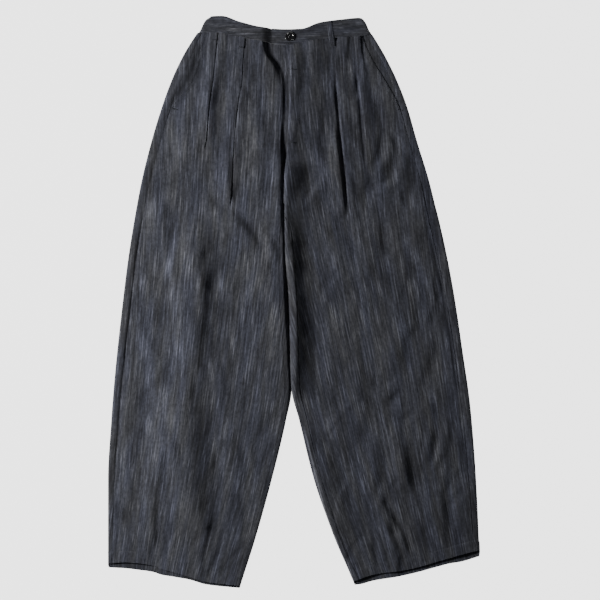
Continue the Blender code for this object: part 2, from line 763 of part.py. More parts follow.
def main():
    for obj in list(bpy.data.objects):
        bpy.data.objects.remove(obj, do_unlink=True)
    make_back("back_right", RIGHT_LEG)
    make_back("back_left", LEFT_LEG)
    make_front("front_right", RIGHT_LEG, False)
    make_front("front_left", LEFT_LEG, True)
    make_pocket_facing("pocket_facing_right", RIGHT_LEG)
    make_pocket_facing("pocket_facing_left", LEFT_LEG)
    make_fly_facing()
    make_waistband("waistband_right", 1, RIGHT_LEG, BAND_UNDERLAP_END_X, right_band_level)
    make_waistband("waistband_left", 2, LEFT_LEG, BAND_LAP_END_X, left_band_level)
    top_of_band = BAND_FRONT_LEVEL + BAND_WALL / 2 + SEAM_GAP + WALL / 2
    for name, (top_x, bottom_x, low_level) in FRONT_LOOPS.items():
        make_loop(name, top_x, bottom_x, top_of_band, low_level)
    for name, x in BACK_LOOPS.items():
        make_loop(name, x, x, LOOP_LEVEL, LOOP_LEVEL)
    make_button()


main()
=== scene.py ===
"""Balloon pants laid flat on a pale floor, seen from straight above."""

import math

import bmesh
import bpy
import numpy as np
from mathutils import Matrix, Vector
from mathutils.bvhtree import BVHTree


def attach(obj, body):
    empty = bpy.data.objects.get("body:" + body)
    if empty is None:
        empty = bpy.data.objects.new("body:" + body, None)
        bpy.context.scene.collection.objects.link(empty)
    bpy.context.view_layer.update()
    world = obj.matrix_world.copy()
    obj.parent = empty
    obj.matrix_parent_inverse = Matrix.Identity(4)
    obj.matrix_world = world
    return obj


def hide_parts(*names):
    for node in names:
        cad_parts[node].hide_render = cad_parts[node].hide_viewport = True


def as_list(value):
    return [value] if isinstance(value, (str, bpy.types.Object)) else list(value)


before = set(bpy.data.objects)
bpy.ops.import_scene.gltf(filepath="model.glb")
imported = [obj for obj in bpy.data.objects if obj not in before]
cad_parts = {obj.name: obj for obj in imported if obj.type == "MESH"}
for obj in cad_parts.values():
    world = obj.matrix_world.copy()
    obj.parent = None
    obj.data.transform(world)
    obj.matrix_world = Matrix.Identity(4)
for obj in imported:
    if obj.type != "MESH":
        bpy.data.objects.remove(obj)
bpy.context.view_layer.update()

MM = 0.001

# Cloth, in millimetres
WALL = 0.9
BAND_WALL = 1.8
SEAM_GAP = 0.3
WAIST_GAP = -0.15
LAYER_STEP = 1.2
HALF_SEAM = SEAM_GAP / 2
BACK_LEVEL = 0.5
BACK_WAIST_LEVEL = 1.8
BAND_BACK_LEVEL = 2.3
BAND_UNDER_LEVEL = 4.6
BAND_FRONT_LEVEL = 6.9
FRONT_LEVEL_LEG = 4.3
FRONT_LEVEL_WAIST = 4.9
FRONT_LEVEL_MIN = 2.0
UNDERLAP_CLEARANCE = 1.3
UNDERLAP_REACH = 3.0
EDGE_ROUND = 5.0
EDGE_STEP = 3.3
CENTRE_STEP = 1.5
CENTRE_OVERLAP = 0.1
WAIST_Y = 479.0
BACK_RAISED_Y = 452.0
BACK_FLAT_Y = 425.0
FLY_END_Y = 286.0
CROTCH_Y = 172.0
CROTCH_BLEND = 5.0
SEAM_ON_TOP_Y = 128.0
CROTCH_EXTRA_GAP = 0.5
EVEN_START_Y = 190.0
EVEN_END_Y = 20.0
HEM_Y = -515.0
LEVEL_RISE_START_Y = 300.0
LEVEL_RISE_END_Y = 440.0
SEAM_STEP = 0.8
CROTCH_SEAM_SHARE = 0.85
WAIST_BLEND = 90.0
HEM_BLEND = 100.0
HEM_DROP_LEVELS = (BACK_LEVEL + 2.5, BACK_LEVEL + 0.5)

# Columns: height, outer folded edge, side seam, slant pocket edge, outer pleat, inner pleat,
# inner end of the front panel, inner folded edge
RIGHT_LINES = (
    (479, -174, -166, -157, -137, -89, -22, -17),
    (463, -185, -174, -165, -139, -90, -20, -17),
    (436, -202, -186, -171, -142, -92, -14, -17),
    (400, -220, -202, -184, -146, -94, -6, -17),
    (351, -238, -222, -220, -153, -102, -5, -17),
    (292, -256, -239, -239, -158, -108, -7, -17),
    (220, -274, -258, -258, -166, -112, -17.6, -16.4),
    (157, -286, -271, -271, -175, -115, -23, -16.2),
    (76, -299, -284, -284, -185, -119, -27, -15.1),
    (4, -308, -292, -292, -196, -122, -26, -12.5),
    (-104, -320, -305, -305, -214, -131, -19, -6.5),
    (-158, -325, -310, -310, -222, -136, -17, -4.4),
    (-212, -329, -315, -315, -230, -140, -24, -14),
    (-320, -335, -323, -323, -242, -148, -49, -40),
    (-428, -335, -326, -326, -251, -160, -78, -70),
    (-515, -335, -328, -328, -259, -169, -104, -97),
)
LEFT_LINES = (
    (479, 141, 130, 123, 109, 79, -23, -16.4),
    (463, 151, 139, 128, 110, 77, -23, -16.4),
    (436, 167, 156, 140, 113, 75, -18, -16.4),
    (400, 185, 174, 163, 116, 76, -10, -16.4),
    (351, 204, 191, 189, 122, 80, -9, -16.4),
    (292, 221, 206, 206, 130, 86, -11, -16.4),
    (220, 243, 227, 227, 140, 94, -17.4, -17.2),
    (170, 255.5, 237.5, 237.5, 146.5, 100.5, -18.2, -17.2),
    (157, 259, 240, 240, 148, 102, -9, -17.2),
    (76, 277, 259, 259, 155, 108, 1, -15.9),
    (4, 290, 274, 274, 160, 113, 6, -13.1),
    (-104, 306, 290, 290, 169, 121, 9, -7.1),
    (-158, 314, 297, 297, 175, 125, 12, -4.5),
    (-212, 320, 304, 304, 183, 130, 24, 9),
    (-320, 328, 314, 314, 206, 146, 50, 36),
    (-428, 333, 322, 322, 244, 162, 85, 74),
    (-515, 335, 327, 327, 266, 180, 117, 108),
)

# Columns: across, waist seam height, waistband top height
WAIST_CURVE = (
    (-176, 484, 490),
    (-157, 485, 513.5),
    (-130, 484, 514.6),
    (-97, 476, 504),
    (-58, 469, 494),
    (-16, 462, 490.5),
    (13, 467, 491.5),
    (47, 473, 503),
    (83, 476, 508),
    (117, 478, 511),
    (137, 481, 505),
)
# Columns: height, wearer's right outline, wearer's left outline
BAND_OUTLINE = (
    (476, -176, 143),
    (484, -172, 139),
    (493, -168, 134.5),
    (502, -164, 131),
    (508, -159, 127),
    (513, -151, 119),
)
# Columns: across, height of the front hem
RIGHT_HEM = (
    (-336, -471),
    (-307, -468.5),
    (-274, -471),
    (-253, -475),
    (-239, -480.5),
    (-217, -486.5),
    (-184, -496),
    (-158, -504),
    (-97, -511),
)
LEFT_HEM = (
    (104, -504),
    (142, -491),
    (203, -482),
    (263, -466),
    (311, -452),
    (336, -446),
)
# How far the back hem shows below the front hem. Columns: across, drop
RIGHT_HEM_DROP = ((-336, 7), (-310, 11), (-274, 12.5), (-245, 11.5), (-215, 8.5), (-184, 5.5), (-97, 4.5))
LEFT_HEM_DROP = ((104, 6), (128, 11.5), (176, 11), (209, 9.5), (273, 10), (306, 13.5), (336, 11.5))
# Centre front crease. Columns: height, across
CREASE_LINE = (
    (479, -52),
    (455, -47),
    (437, -29),
    (419, -20),
    (391, -16),
    (340, -16),
    (319, -18),
    (283, -20),
    (247, -18.4),
    (175, -18.4),
)
# Pleat depth at the waist, height where the pleat ends
RIGHT_PLEATS = {"outer": (11.0, 297.0), "inner": (15.0, 196.0)}
LEFT_PLEATS = {"outer": (8.0, 247.0), "inner": (15.0, 175.0)}
PLEAT_CLOSED_DEPTH = 2.4
PLEAT_RELEASE = 55.0
PLEAT_LEAN = 0.12
PLEAT_TOP_REACH = 1.5
PLEAT_MARGIN = 3.0
PLEAT_OPEN_OFFSETS = (-16.0, -10.0, -6.0, -2.0, 2.0, 6.0, 10.0)

# How far the grain drifts across, down each leg. Columns: height, drift
RIGHT_GRAIN = ((480, 0), (292, -8), (130, -19), (-113, -47), (-356, -85), (-516, -120))
LEFT_GRAIN = ((480, -6), (292, 9), (130, 31), (-113, 83), (-356, 140), (-516, 190))

GRAIN_OUTER_SHARE = 0.6
GRAIN_INNER_SHARE = 1.2

# How a crease rises and fades along its line, as shares of its length, and the shape of an edge
RIDGE_START = (-0.05, 0.28)
RIDGE_END = (1.05, 0.72)
EDGE_START = (-0.03, 0.10)
EDGE_END = (1.03, 0.85)
EDGE_SHOULDER = 0.35
EDGE_FALL = 1.15

# Small relief: waves, puckers beside the seams (width and height), and the turned hem
SMALL_CREASES = 110
WAVE_HEIGHT = 0.16
SIDE_PUCKER = (22.0, 0.35)
INSEAM_PUCKER = (20.0, 0.4)
PUCKER_TOP_Y = 330.0
HEM_TURN = 20.0
HEM_TURN_RISE = 0.55
HEM_GROOVE = 0.5
HEM_PUCKER = 0.45

# Resolution of the panels
ROW_STEP = 3.7
PANEL_ROWS = np.linspace(WAIST_Y, HEM_Y, int((WAIST_Y - HEM_Y) / ROW_STEP) + 1)
FRONT_FLAT_SPLITS = 9
FRONT_BETWEEN_SPLITS = 7
FRONT_PLEAT_SPLITS = 4
BACK_EDGE_SPLITS = 3
BACK_FLAT_SPLITS = 12
INNER_COLUMNS = 10
BACK_INNER_COLUMNS = 25

# Creases. Columns: rise (a trough is below zero), widths to its left and to its right for a
# line that runs down the leg, the points of its line, sharpness of its crest where not 1 (0 for an edge)
RIGHT_FOLDS = (
    (-1.2, 7, 5, ((-154, 486), (-162, 463), (-175, 436), (-189, 400), (-223, 351), (-229, 330)), 0.8),
    (3.0, 12, 34, ((-160, 486), (-173, 463), (-187, 436), (-201, 400), (-235, 345))),
    (-1.0, 10, 16, ((-146, 480), (-155, 463), (-165, 436), (-179, 400), (-214, 351), (-222, 330))),
    (2.4, 3, 24, ((-126, 580), (-134.5, 479), (-139.5, 436), (-143.5, 400), (-150, 351),
        (-154, 292), (-160, 236))),
    (2.4, 3, 26, ((-80, 580), (-86.5, 479), (-89.5, 436), (-91.5, 400), (-99, 351), (-105.5, 292),
        (-109, 205), (-113, 130))),
    (4.2, 22, 19, ((-150, 412), (-154, 351), (-158, 286))),
    (3.2, 20, 15, ((-122, 268), (-124, 225), (-117, 166))),
    (5.6, 34, 15, ((-64, 540), (-62, 480), (-53, 446), (-41, 420), (-30, 385))),
    (-3.0, 12, 8, ((-48, 520), (-46, 476), (-38, 448), (-27, 430), (-20, 405))),
    (1.6, 14, 4, ((-262, 230), (-275, 157), (-288, 76), (-296, 4), (-309, -104), (-319, -212),
        (-327, -330))),
    (1.4, 30, 12, ((-32, 445), (-27, 400), (-26, 330), (-27, 240), (-30, 190), (-30, 120))),
    (4.2, 30, 6, ((-24, 322), (-24, 255), (-24, 215), (-26, 120))),
    (4.0, 26, 22, ((-68, 345), (-62, 310), (-50, 280), (-34, 255))),
    (7.0, 84, 9, ((-24, 190), (-22, 120), (-21, 76), (-19, 4), (-13, -104), (-11, -158), (-22, -230))),
    (3.0, 56, 40, ((-262, 60), (-268, -20), (-274, -90))),
    (13.2, 66, 44, ((-173, 158), (-176, 94), (-168, 56), (-173, 4), (-180, -50), (-184, -140)), 1.4),
    (-1.2, 18, 20, ((-152, 150), (-152, 90), (-142, 50), (-148, 4), (-152, -60))),
    (14.5, 92, 64, ((-186, -110), (-190, -165), (-197, -225), (-199, -262), (-193, -315),
        (-187, -360), (-186, -430)), 1.3),
    (2.6, 22, 12, ((-187, -122), (-188, -150), (-187, -180))),
    (3.0, 26, 16, ((-145, -60), (-141, -112), (-133, -140), (-128, -192))),
    (-2.8, 15, 16, ((-176, 222), (-133, 180), (-104, 164), (-76, 135), (-58, 110), (-36, 60))),
    (3.4, 24, 20, ((-168, 178), (-128, 146), (-100, 136), (-72, 100))),
    (3.6, 18, 14, ((-54, 124), (-42, 98), (-34, 66))),
    (-1.2, 15, 13, ((-96, 272), (-100, 225), (-101, 170))),
    (3.4, 26, 20, ((-230, 75), (-212, 20), (-192, -35))),
    (2.4, 18, 16, ((-284, -45), (-262, -78), (-238, -108))),
    (3.0, 20, 19, ((-270, -200), (-236, -243), (-203, -268))),
    (-2.2, 12, 12, ((-224, 118), (-222, 68))),
    (2.6, 16, 14, ((-219, 92), (-212, 55), (-204, 10))),
    (4.4, 40, 13, ((-242, -230), (-243, -279), (-248, -320), (-254, -356), (-256, -400), (-260, -470))),
    (4.4, 40, 15, ((-150, -360), (-163, -416), (-171, -454), (-176, -514))),
    (-1.9, 9, 9, ((-158, -404), (-126, -417), (-96, -425))),
    (-1.9, 9, 9, ((-307, -410), (-277, -446))),
    (-2.3, 10, 10, ((-128, -440), (-144, -472), (-156, -502))),
    (-2.3, 10, 10, ((-90, -438), (-112, -466), (-132, -492))),
    (-1.6, 6, 6, ((-230, -410), (-227, -459))),
    (-2.0, 10, 10, ((-164, -408), (-182, -448))),
    (3.0, 40, 34, ((-262, 240), (-244, 180), (-238, 90))),
    (2.4, 34, 24, ((-80, 40), (-70, -40), (-68, -130))),
    (3.0, 30, 34, ((-216, 330), (-196, 280), (-190, 215))),
    (2.6, 30, 26, ((-76, 300), (-66, 240), (-70, 180))),
    (3.0, 34, 28, ((-288, -120), (-292, -200), (-288, -300))),
    (2.8, 32, 26, ((-118, -230), (-112, -300), (-120, -380))),
)
LEFT_FOLDS = (
    (1.2, 30, 30, ((-24, 560), (-10, 420), (-12, 200))),
    (1.0, 14, 14, ((122, 474), (138, 436), (161, 400), (185, 352), (190, 338))),
    (-1.2, 4, 4, ((220, 245), (236, 157), (256, 76), (271, 4), (287, -104), (301, -212), (311, -320))),
    (-2.0, 5, 3, ((77, 430), (76, 400), (80, 340), (85, 285), (91, 235), (98, 160)), 0.8),
    (2.4, 28, 6, ((70, 430), (69, 400), (73, 340), (78, 285), (84, 235), (91, 160))),
    (-2.2, 6, 4, ((77, 330), (83, 285), (90, 230), (98, 150)), 0.8),
    (2.6, 26, 7, ((68, 330), (74, 285), (82, 230), (90, 150))),
    (-1.6, 5, 3, ((109, 440), (111, 420), (118, 370), (123, 315), (131, 225)), 0.8),
    (1.3, 20, 6, ((101, 440), (103, 420), (110, 370), (115, 315), (123, 230))),
    (-2.4, 34, 9, ((38, 262), (45, 240), (45, 223), (36, 208), (24, 193), (16, 172))),
    (3.0, 10, 30, ((60, 246), (57, 223), (46, 208), (34, 192), (27, 170))),
    (-2.6, 11, 11, ((160, 316), (156, 268), (132, 233))),
    (-2.6, 11, 11, ((188, 264), (170, 220), (124, 203))),
    (3.4, 15, 13, ((173, 308), (168, 262), (143, 224))),
    (2.8, 15, 16, ((200, 266), (184, 216), (130, 190))),
    (-1.5, 13, 13, ((160, 156), (165, 99), (185, 108), (207, 122), (212, 152))),
    (1.2, 22, 20, ((146, 156), (146, 110), (152, 76))),
    (2.2, 16, 16, ((170, 142), (184, 132), (200, 144))),
    (-2.6, 18, 22, ((90, 33), (150, 31), (226, 34))),
    (2.8, 30, 28, ((94, 62), (150, 58), (218, 63))),
    (-1.6, 20, 20, ((224, 0), (212, -50), (198, -115), (190, -146))),
    (4.2, 44, 38, ((203, 10), (191, -50), (179, -100), (168, -145))),
    (2.2, 22, 34, ((250, -20), (245, -60), (233, -110), (224, -158))),
    (-2.2, 14, 14, ((130, -172), (166, -188), (194, -158))),
    (3.0, 20, 18, ((138, -156), (162, -166), (186, -146))),
    (-1.8, 12, 12, ((186, -222), (222, -194))),
    (-1.4, 14, 14, ((208, -240), (211, -292), (216, -346))),
    (4.4, 30, 36, ((188, -226), (190, -292), (195, -346))),
    (-1.4, 12, 12, ((258, -226), (254, -260), (247, -298))),
    (2.6, 9, 28, ((244, -218), (240, -258), (233, -298))),
    (-1.5, 12, 12, ((286, -200), (281, -263), (263, -297), (256, -336))),
    (3.2, 9, 30, ((270, -216), (265, -262), (249, -306))),
    (-1.8, 9, 9, ((193, -313), (176, -337))),
    (-2.0, 11, 11, ((310, -336), (272, -370))),
    (2.2, 30, 18, ((182, -226), (196, -302), (208, -338), (224, -380))),
    (-1.8, 12, 12, ((157, -336), (173, -369), (196, -407), (217, -456))),
    (3.8, 26, 16, ((145, -336), (160, -375), (182, -412), (202, -464))),
    (-2.0, 10, 10, ((168, -386), (192, -444), (195, -494))),
    (2.4, 15, 12, ((156, -388), (178, -442), (182, -492))),
    (-1.8, 8, 8, ((141, -426), (154, -486))),
    (-1.8, 8, 8, ((166, -440), (178, -486))),
    (3.2, 12, 22, ((-9, 150), (-9, 112), (-5, 68), (2, 4), (3, -50), (3, -100), (2, -160))),
    (9.5, 12, 60, ((4, 456), (4, 430), (2, 390), (1, 340), (-5, 262)), 0.0),
    (14.9, 5, 42, ((-14, 256), (-13, 222), (-14, 190), (-15, 130), (-16, 80)), 0.0),
    (12.6, 13, 35, ((-5, 100), (-2, 60), (3, 4), (4, -50), (4, -90), (3, -190)), 0.0),
    (1.0, 60, 56, ((62, 165), (66, 90), (74, 0), (76, -90), (78, -190))),
    (3.0, 34, 30, ((208, 240), (226, 150), (240, 60))),
    (2.4, 34, 34, ((116, 150), (132, 60), (130, -40))),
    (2.2, 40, 24, ((96, -60), (112, -140), (120, -240))),
    (1.2, 30, 28, ((268, -20), (278, -100), (284, -180))),
    (5.0, 12, 38, ((28, -225), (44, -290), (62, -360), (80, -430)), 0.0),
    (2.8, 26, 26, ((40, 400), (46, 340), (44, 270))),
    (3.4, 20, 26, ((38, 520), (38, 470), (40, 430), (44, 390))),
    (2.6, 24, 24, ((150, -240), (146, -300), (140, -380))),
    (2.8, 30, 24, ((256, -350), (262, -400), (270, -450))),
    (3.0, 56, 8, ((296, 60), (312, -100), (324, -260), (328, -400), (330, -500))),
)


def smoothstep(start, end, value):
    """0 at the start, 1 at the end, with a soft rise between them."""
    t = np.clip((value - start) / (end - start), 0.0, 1.0)
    return t * t * (3 - 2 * t)


def hermite(t, span, start, end, start_slope, end_slope):
    """A cubic between two values, with a slope given at each."""
    value = (1 + 2 * t) * (1 - t) ** 2 * start + t * t * (3 - 2 * t) * end
    return value + span * (t * (1 - t) ** 2 * start_slope + t * t * (t - 1) * end_slope)


def tangents(slope):
    """Slopes at a line's points from the slopes between them, flat where those turn back."""
    before, after = slope[:-1], slope[1:]
    product = before * after
    total = np.where(product > 0, before + after, 1.0)
    return np.concatenate((slope[:1], np.where(product > 0, 2 * product / total, 0.0), slope[-1:]))


class Curve:
    """A smooth line through table rows that never overshoots them."""

    def __init__(self, table, column=1):
        rows = sorted(((row[0], row[column]) for row in table), key=lambda row: row[0])
        self.x = np.array([row[0] for row in rows], dtype=float)
        self.y = np.array([row[1] for row in rows], dtype=float)
        self.tangent = tangents(np.diff(self.y) / np.diff(self.x))

    def __call__(self, value):
        value = np.clip(value, self.x[0], self.x[-1])
        i = np.clip(np.searchsorted(self.x, value) - 1, 0, len(self.x) - 2)
        h = self.x[i + 1] - self.x[i]
        t = (value - self.x[i]) / h
        return hermite(t, h, self.y[i], self.y[i + 1], self.tangent[i], self.tangent[i + 1])


WAIST_SEAM = Curve(WAIST_CURVE, 1)
WAIST_TOP = Curve(WAIST_CURVE, 2)
CREASE = Curve(CREASE_LINE)


def smooth_line(points, per_span=6):
    """Points of a Catmull-Rom line through a few chosen points."""
    p = np.array(points, dtype=float)
    if len(p) < 3:
        t = np.linspace(0, 1, per_span + 1)[:, None]
        return p[0] + t * (p[-1] - p[0])
    ext = np.vstack((2 * p[0] - p[1], p, 2 * p[-1] - p[-2]))
    out = [p[0]]
    for i in range(1, len(ext) - 2):
        a, b, c, d = ext[i - 1], ext[i], ext[i + 1], ext[i + 2]
        for k in range(1, per_span + 1):
            t = k / per_span
            bend = (2 * a - 5 * b + 4 * c - d) * t * t + (3 * b - a - 3 * c + d) * t ** 3
            out.append(0.5 * (2 * b + (c - a) * t + bend))
    return np.array(out)


def fold_field(folds, x, y):
    """Height added by the creases at places x, y. Each is a soft ridge or trough along its own line."""
    total = np.zeros_like(x)
    for rise, left, right, points, *sharp in folds:
        sharp = sharp[0] if sharp else 1.0
        line = smooth_line(points)
        reach = max(left, right)
        low = line.min(axis=0) - reach
        high = line.max(axis=0) + reach
        near = (x > low[0]) & (x < high[0]) & (y > low[1]) & (y < high[1])
        if not near.any():
            continue
        px = x[near]
        py = y[near]
        step = np.diff(line, axis=0)
        length = np.hypot(step[:, 0], step[:, 1])
        run = np.concatenate(([0.0], np.cumsum(length)))
        nearest = np.full(len(px), 1e9)
        side = np.zeros(len(px))
        along = np.zeros(len(px))
        for i in range(len(step)):
            ux, uy = step[i] / length[i]
            dx = px - line[i, 0]
            dy = py - line[i, 1]
            t = np.clip(dx * ux + dy * uy, 0.0, length[i])
            gap = np.hypot(dx - t * ux, dy - t * uy)
            closer = gap < nearest
            nearest = np.where(closer, gap, nearest)
            side = np.where(closer, ux * dy - uy * dx, side)
            along = np.where(closer, run[i] + t, along)
        width = np.where(side < 0, left, right)
        t = np.clip(nearest / width, 0, 1)
        along /= run[-1]
        if sharp:
            shape = (0.5 * (1 + np.cos(np.pi * t))) ** sharp
            start, end = RIDGE_START, RIDGE_END
        else:
            shape = np.where(side < 0, smoothstep(0.0, EDGE_SHOULDER, 1 - t), (1 - t) ** EDGE_FALL)
            start, end = EDGE_START, EDGE_END
        total[near] += rise * shape * smoothstep(*start, along) * smoothstep(*end, along)
    return total


def back_level(y):
    """Level of the back's middle surface, raised over the back loops."""
    return BACK_LEVEL + (BACK_WAIST_LEVEL - BACK_LEVEL) * smoothstep(BACK_FLAT_Y, BACK_RAISED_Y, y)


def folded_edge(half):
    """Angles round a folded edge of this half height, and the length run at each."""
    angles = np.linspace(math.pi / 2, -math.pi / 2, 48)
    runs = np.hypot(np.diff(EDGE_ROUND * np.cos(angles)), np.diff(half * np.sin(angles)))
    return angles, np.concatenate(([0.0], np.cumsum(runs)))


def small_creases(leg, seed):
    """Short uneven creases scattered over a leg, from a fixed seed."""
    chance = np.random.RandomState(seed)
    creases = []
    for _ in range(SMALL_CREASES):
        y = chance.uniform(-470, 440)
        outer = leg.line["side"](y)
        inner = leg.line["front_end"](y)
        x = outer + chance.uniform(0.06, 0.94) * (inner - outer)
        tilt = chance.normal(0, 0.35) - leg.inward * 0.1
        reach = chance.uniform(16, 60)
        bow = chance.normal(0, 0.12) * reach
        dx = math.sin(tilt) * reach
        dy = math.cos(tilt) * reach
        rise = chance.choice((-1, 1)) * chance.uniform(0.5, 1.6)
        left = chance.uniform(9, 26)
        right = chance.uniform(7, 19)
        creases.append((rise, left, right, ((x + dx, y + dy), (x + bow, y), (x - dx, y - dy))))
    return tuple(creases)


class Leg:
    """One leg's section lines, levels, folded edges, creases and grain."""

    def __init__(self, lines, hem, hem_drop, folds, pleats, grain, inward, mouth_lift, seed):
        names = ("outer", "side", "mouth", "pleat_outer", "pleat_inner", "front_end", "inner")
        self.line = {name: Curve(lines, i + 1) for i, name in enumerate(names)}
        self.hem = Curve(hem)
        self.hem_drop = Curve(hem_drop)
        self.inward = inward
        self.folds = folds + small_creases(self, seed)
        self.pleats = pleats
        self.mouth_lift = mouth_lift
        self.grain = Curve(grain)
        self.waves = np.random.RandomState(seed).uniform(-1, 1, (14, 4))

    def outer_edge(self, y):
        return self.line["outer"](y) + self.inward * WALL / 2

    def inner_edge(self, y):
        return self.line["inner"](y) - self.inward * WALL / 2

    def top_level(self, y):
        """Level of the front's middle surface."""
        rise = smoothstep(LEVEL_RISE_START_Y, LEVEL_RISE_END_Y, y)
        return FRONT_LEVEL_LEG + (FRONT_LEVEL_WAIST - FRONT_LEVEL_LEG) * rise

    def place(self, x, z, row_y):
        """Height along the garment of a section point, bent to the waist seam and the hem."""
        near_waist = smoothstep(WAIST_Y - WAIST_BLEND, WAIST_Y, row_y)
        near_hem = smoothstep(HEM_Y + HEM_BLEND, HEM_Y, row_y)
        drop = self.hem_drop(x) * smoothstep(*HEM_DROP_LEVELS, z)
        to_waist = WAIST_SEAM(x) - WAIST_GAP - WAIST_Y
        to_hem = self.hem(x) - drop - HEM_Y
        return row_y + near_waist * to_waist + near_hem * to_hem

    def inner_turn(self, sigma, y):
        """The point that lies this far along the cloth, from the start of the inner edge's turn."""
        inward = self.inward
        start = self.inner_edge(y) - inward * EDGE_ROUND
        top = self.top_level(y)
        if sigma <= 0:
            return start + inward * sigma, top
        low = back_level(y)
        half = (top - low) / 2
        angles, runs = folded_edge(half)
        if sigma >= runs[-1]:
            return start - inward * (sigma - runs[-1]), low
        angle = np.interp(sigma, runs, angles)
        return start + inward * EDGE_ROUND * math.cos(angle), low + half + half * math.sin(angle)

    def seam_sigma(self, y):
        """Where the inseam lies round the inner edge: on its side at the crotch, on top lower down."""
        top = self.top_level(y)
        length = folded_edge((top - back_level(y)) / 2)[1][-1]
        inside = abs(self.inner_edge(y) - self.line["front_end"](y)) - EDGE_ROUND
        start = CROTCH_SEAM_SHARE * length
        return start + (-max(inside, 2.0) - start) * smoothstep(CROTCH_Y, SEAM_ON_TOP_Y, y)

    def half_gap(self, y):
        """Half the gap between the panels at the inseam, wider at the crotch."""
        return HALF_SEAM + CROTCH_EXTRA_GAP * smoothstep(SEAM_ON_TOP_Y - 30, SEAM_ON_TOP_Y, y)

    def relief(self, x, y):
        """Creases, faint waves of the laid cloth, seam puckers and the turned hem's thickness."""
        height = fold_field(self.folds, x, y)
        for a, b, c, d in self.waves:
            across = 2 * math.pi * x / (46 + 34 * abs(a))
            down = 2 * math.pi * y / (150 + 110 * b)
            height += WAVE_HEIGHT * np.sin(across + down * np.sign(c) + 9 * d)
        to_side = np.abs(x - self.line["side"](y))
        to_inseam = np.abs(x - self.line["front_end"](y))
        ripple = np.sin(y / 6.1 + 3 * np.sin(y / 37.0)) * (0.6 + 0.4 * np.sin(y / 23.0 + 2))
        for gap, (wide, strength) in ((to_side, SIDE_PUCKER), (to_inseam, INSEAM_PUCKER)):
            near = np.clip(1 - gap / wide, 0, 1) ** 2
            height += strength * near * ripple * (y < PUCKER_TOP_Y)
        above_turn = y - self.hem(x) - HEM_TURN
        height += HEM_TURN_RISE * smoothstep(1.5, -1.5, above_turn)
        height -= HEM_GROOVE * np.exp(-(above_turn / 1.6) ** 2)
        ripple = np.sin(x / 3.7 + 2.5 * np.sin(x / 29.0)) * (0.55 + 0.45 * np.sin(x / 17.0 + 1))
        height += HEM_PUCKER * ripple * np.exp(-((above_turn + 1) / 13.0) ** 2)
        return height


RIGHT_LEG = Leg(RIGHT_LINES, RIGHT_HEM, RIGHT_HEM_DROP, RIGHT_FOLDS, RIGHT_PLEATS, RIGHT_GRAIN, 1, 0.4, 11)
LEFT_LEG = Leg(LEFT_LINES, LEFT_HEM, LEFT_HEM_DROP, LEFT_FOLDS, LEFT_PLEATS, LEFT_GRAIN, -1, -0.25, 23)


def pleat_columns(leg, name, y):
    """Seven section points of a knife pleat whose outer side laps inward over its inner side."""
    depth_waist, end_y = leg.pleats[name]
    edge = leg.line["pleat_" + name](y)
    share = np.clip((y - end_y) / (WAIST_Y - end_y), 0.0, 1.0)
    depth = PLEAT_CLOSED_DEPTH + (depth_waist - PLEAT_CLOSED_DEPTH) * share
    closed = smoothstep(end_y - PLEAT_RELEASE, end_y, y)
    turn = LAYER_STEP / 2
    shut = (
        (-(depth + PLEAT_TOP_REACH), 2 * LAYER_STEP),
        (-turn, 2 * LAYER_STEP),
        (0.0, 1.5 * LAYER_STEP),
        (-turn, LAYER_STEP + PLEAT_LEAN),
        (-(depth - turn), LAYER_STEP - PLEAT_LEAN),
        (-depth, 0.5 * LAYER_STEP),
        (-(depth - turn), 0.0),
    )
    points = []
    for (offset, rise), loose in zip(shut, PLEAT_OPEN_OFFSETS):
        x = edge + leg.inward * (closed * offset + (1 - closed) * loose)
        points.append((x, leg.top_level(y) + closed * rise))
    return points


def front_section(leg, y, lap):
    """Section points of a front panel from its outer edge to its inner end."""
    inward = leg.inward
    outer = leg.line["mouth"](y) + inward * HALF_SEAM
    first = pleat_columns(leg, "outer", y)
    second = pleat_columns(leg, "inner", y)
    shape = []
    for t, share in ((0.0, 1.0), (0.33, 0.25), (0.66, 0.0)):
        x = outer + t * (first[0][0] - outer)
        shape.append((x, leg.top_level(y) + share * leg.mouth_lift))
    shape.extend(first)
    for t in (0.3, 0.65):
        x = first[-1][0] + t * (second[0][0] - first[-1][0])
        x = max(x * inward, (leg.line["pleat_outer"](y) + inward * PLEAT_MARGIN) * inward) * inward
        shape.append((x, leg.top_level(y)))
    shape.extend(second)
    inner = centre_columns(leg, y, lap) if y > CROTCH_Y + 1 else seam_columns(leg, y)
    start = leg.line["pleat_inner"](y) + inward * PLEAT_MARGIN
    for t in (0.12, 0.37, 0.62, 0.85):
        x = start + t * (inner[0][0] - start)
        shape.append((x, leg.top_level(y)))
    shape.extend(inner)
    # Lower down the points spread evenly across the front
    even = float(smoothstep(EVEN_START_Y, EVEN_END_Y, y))
    if even > 0:
        count = len(shape) - len(inner)
        begin, stop = shape[0][0], shape[count][0]
        for i in range(count):
            x, z = shape[i]
            shape[i] = (x + even * (begin + (stop - begin) * i / count - x), z)
    return shape


def densify(points, count):
    """More points along a short run of section points."""
    line = np.array(points, dtype=float)
    place = np.linspace(0, len(line) - 1, count)
    return list(zip(*(np.interp(place, range(len(line)), line[:, axis]) for axis in (0, 1))))


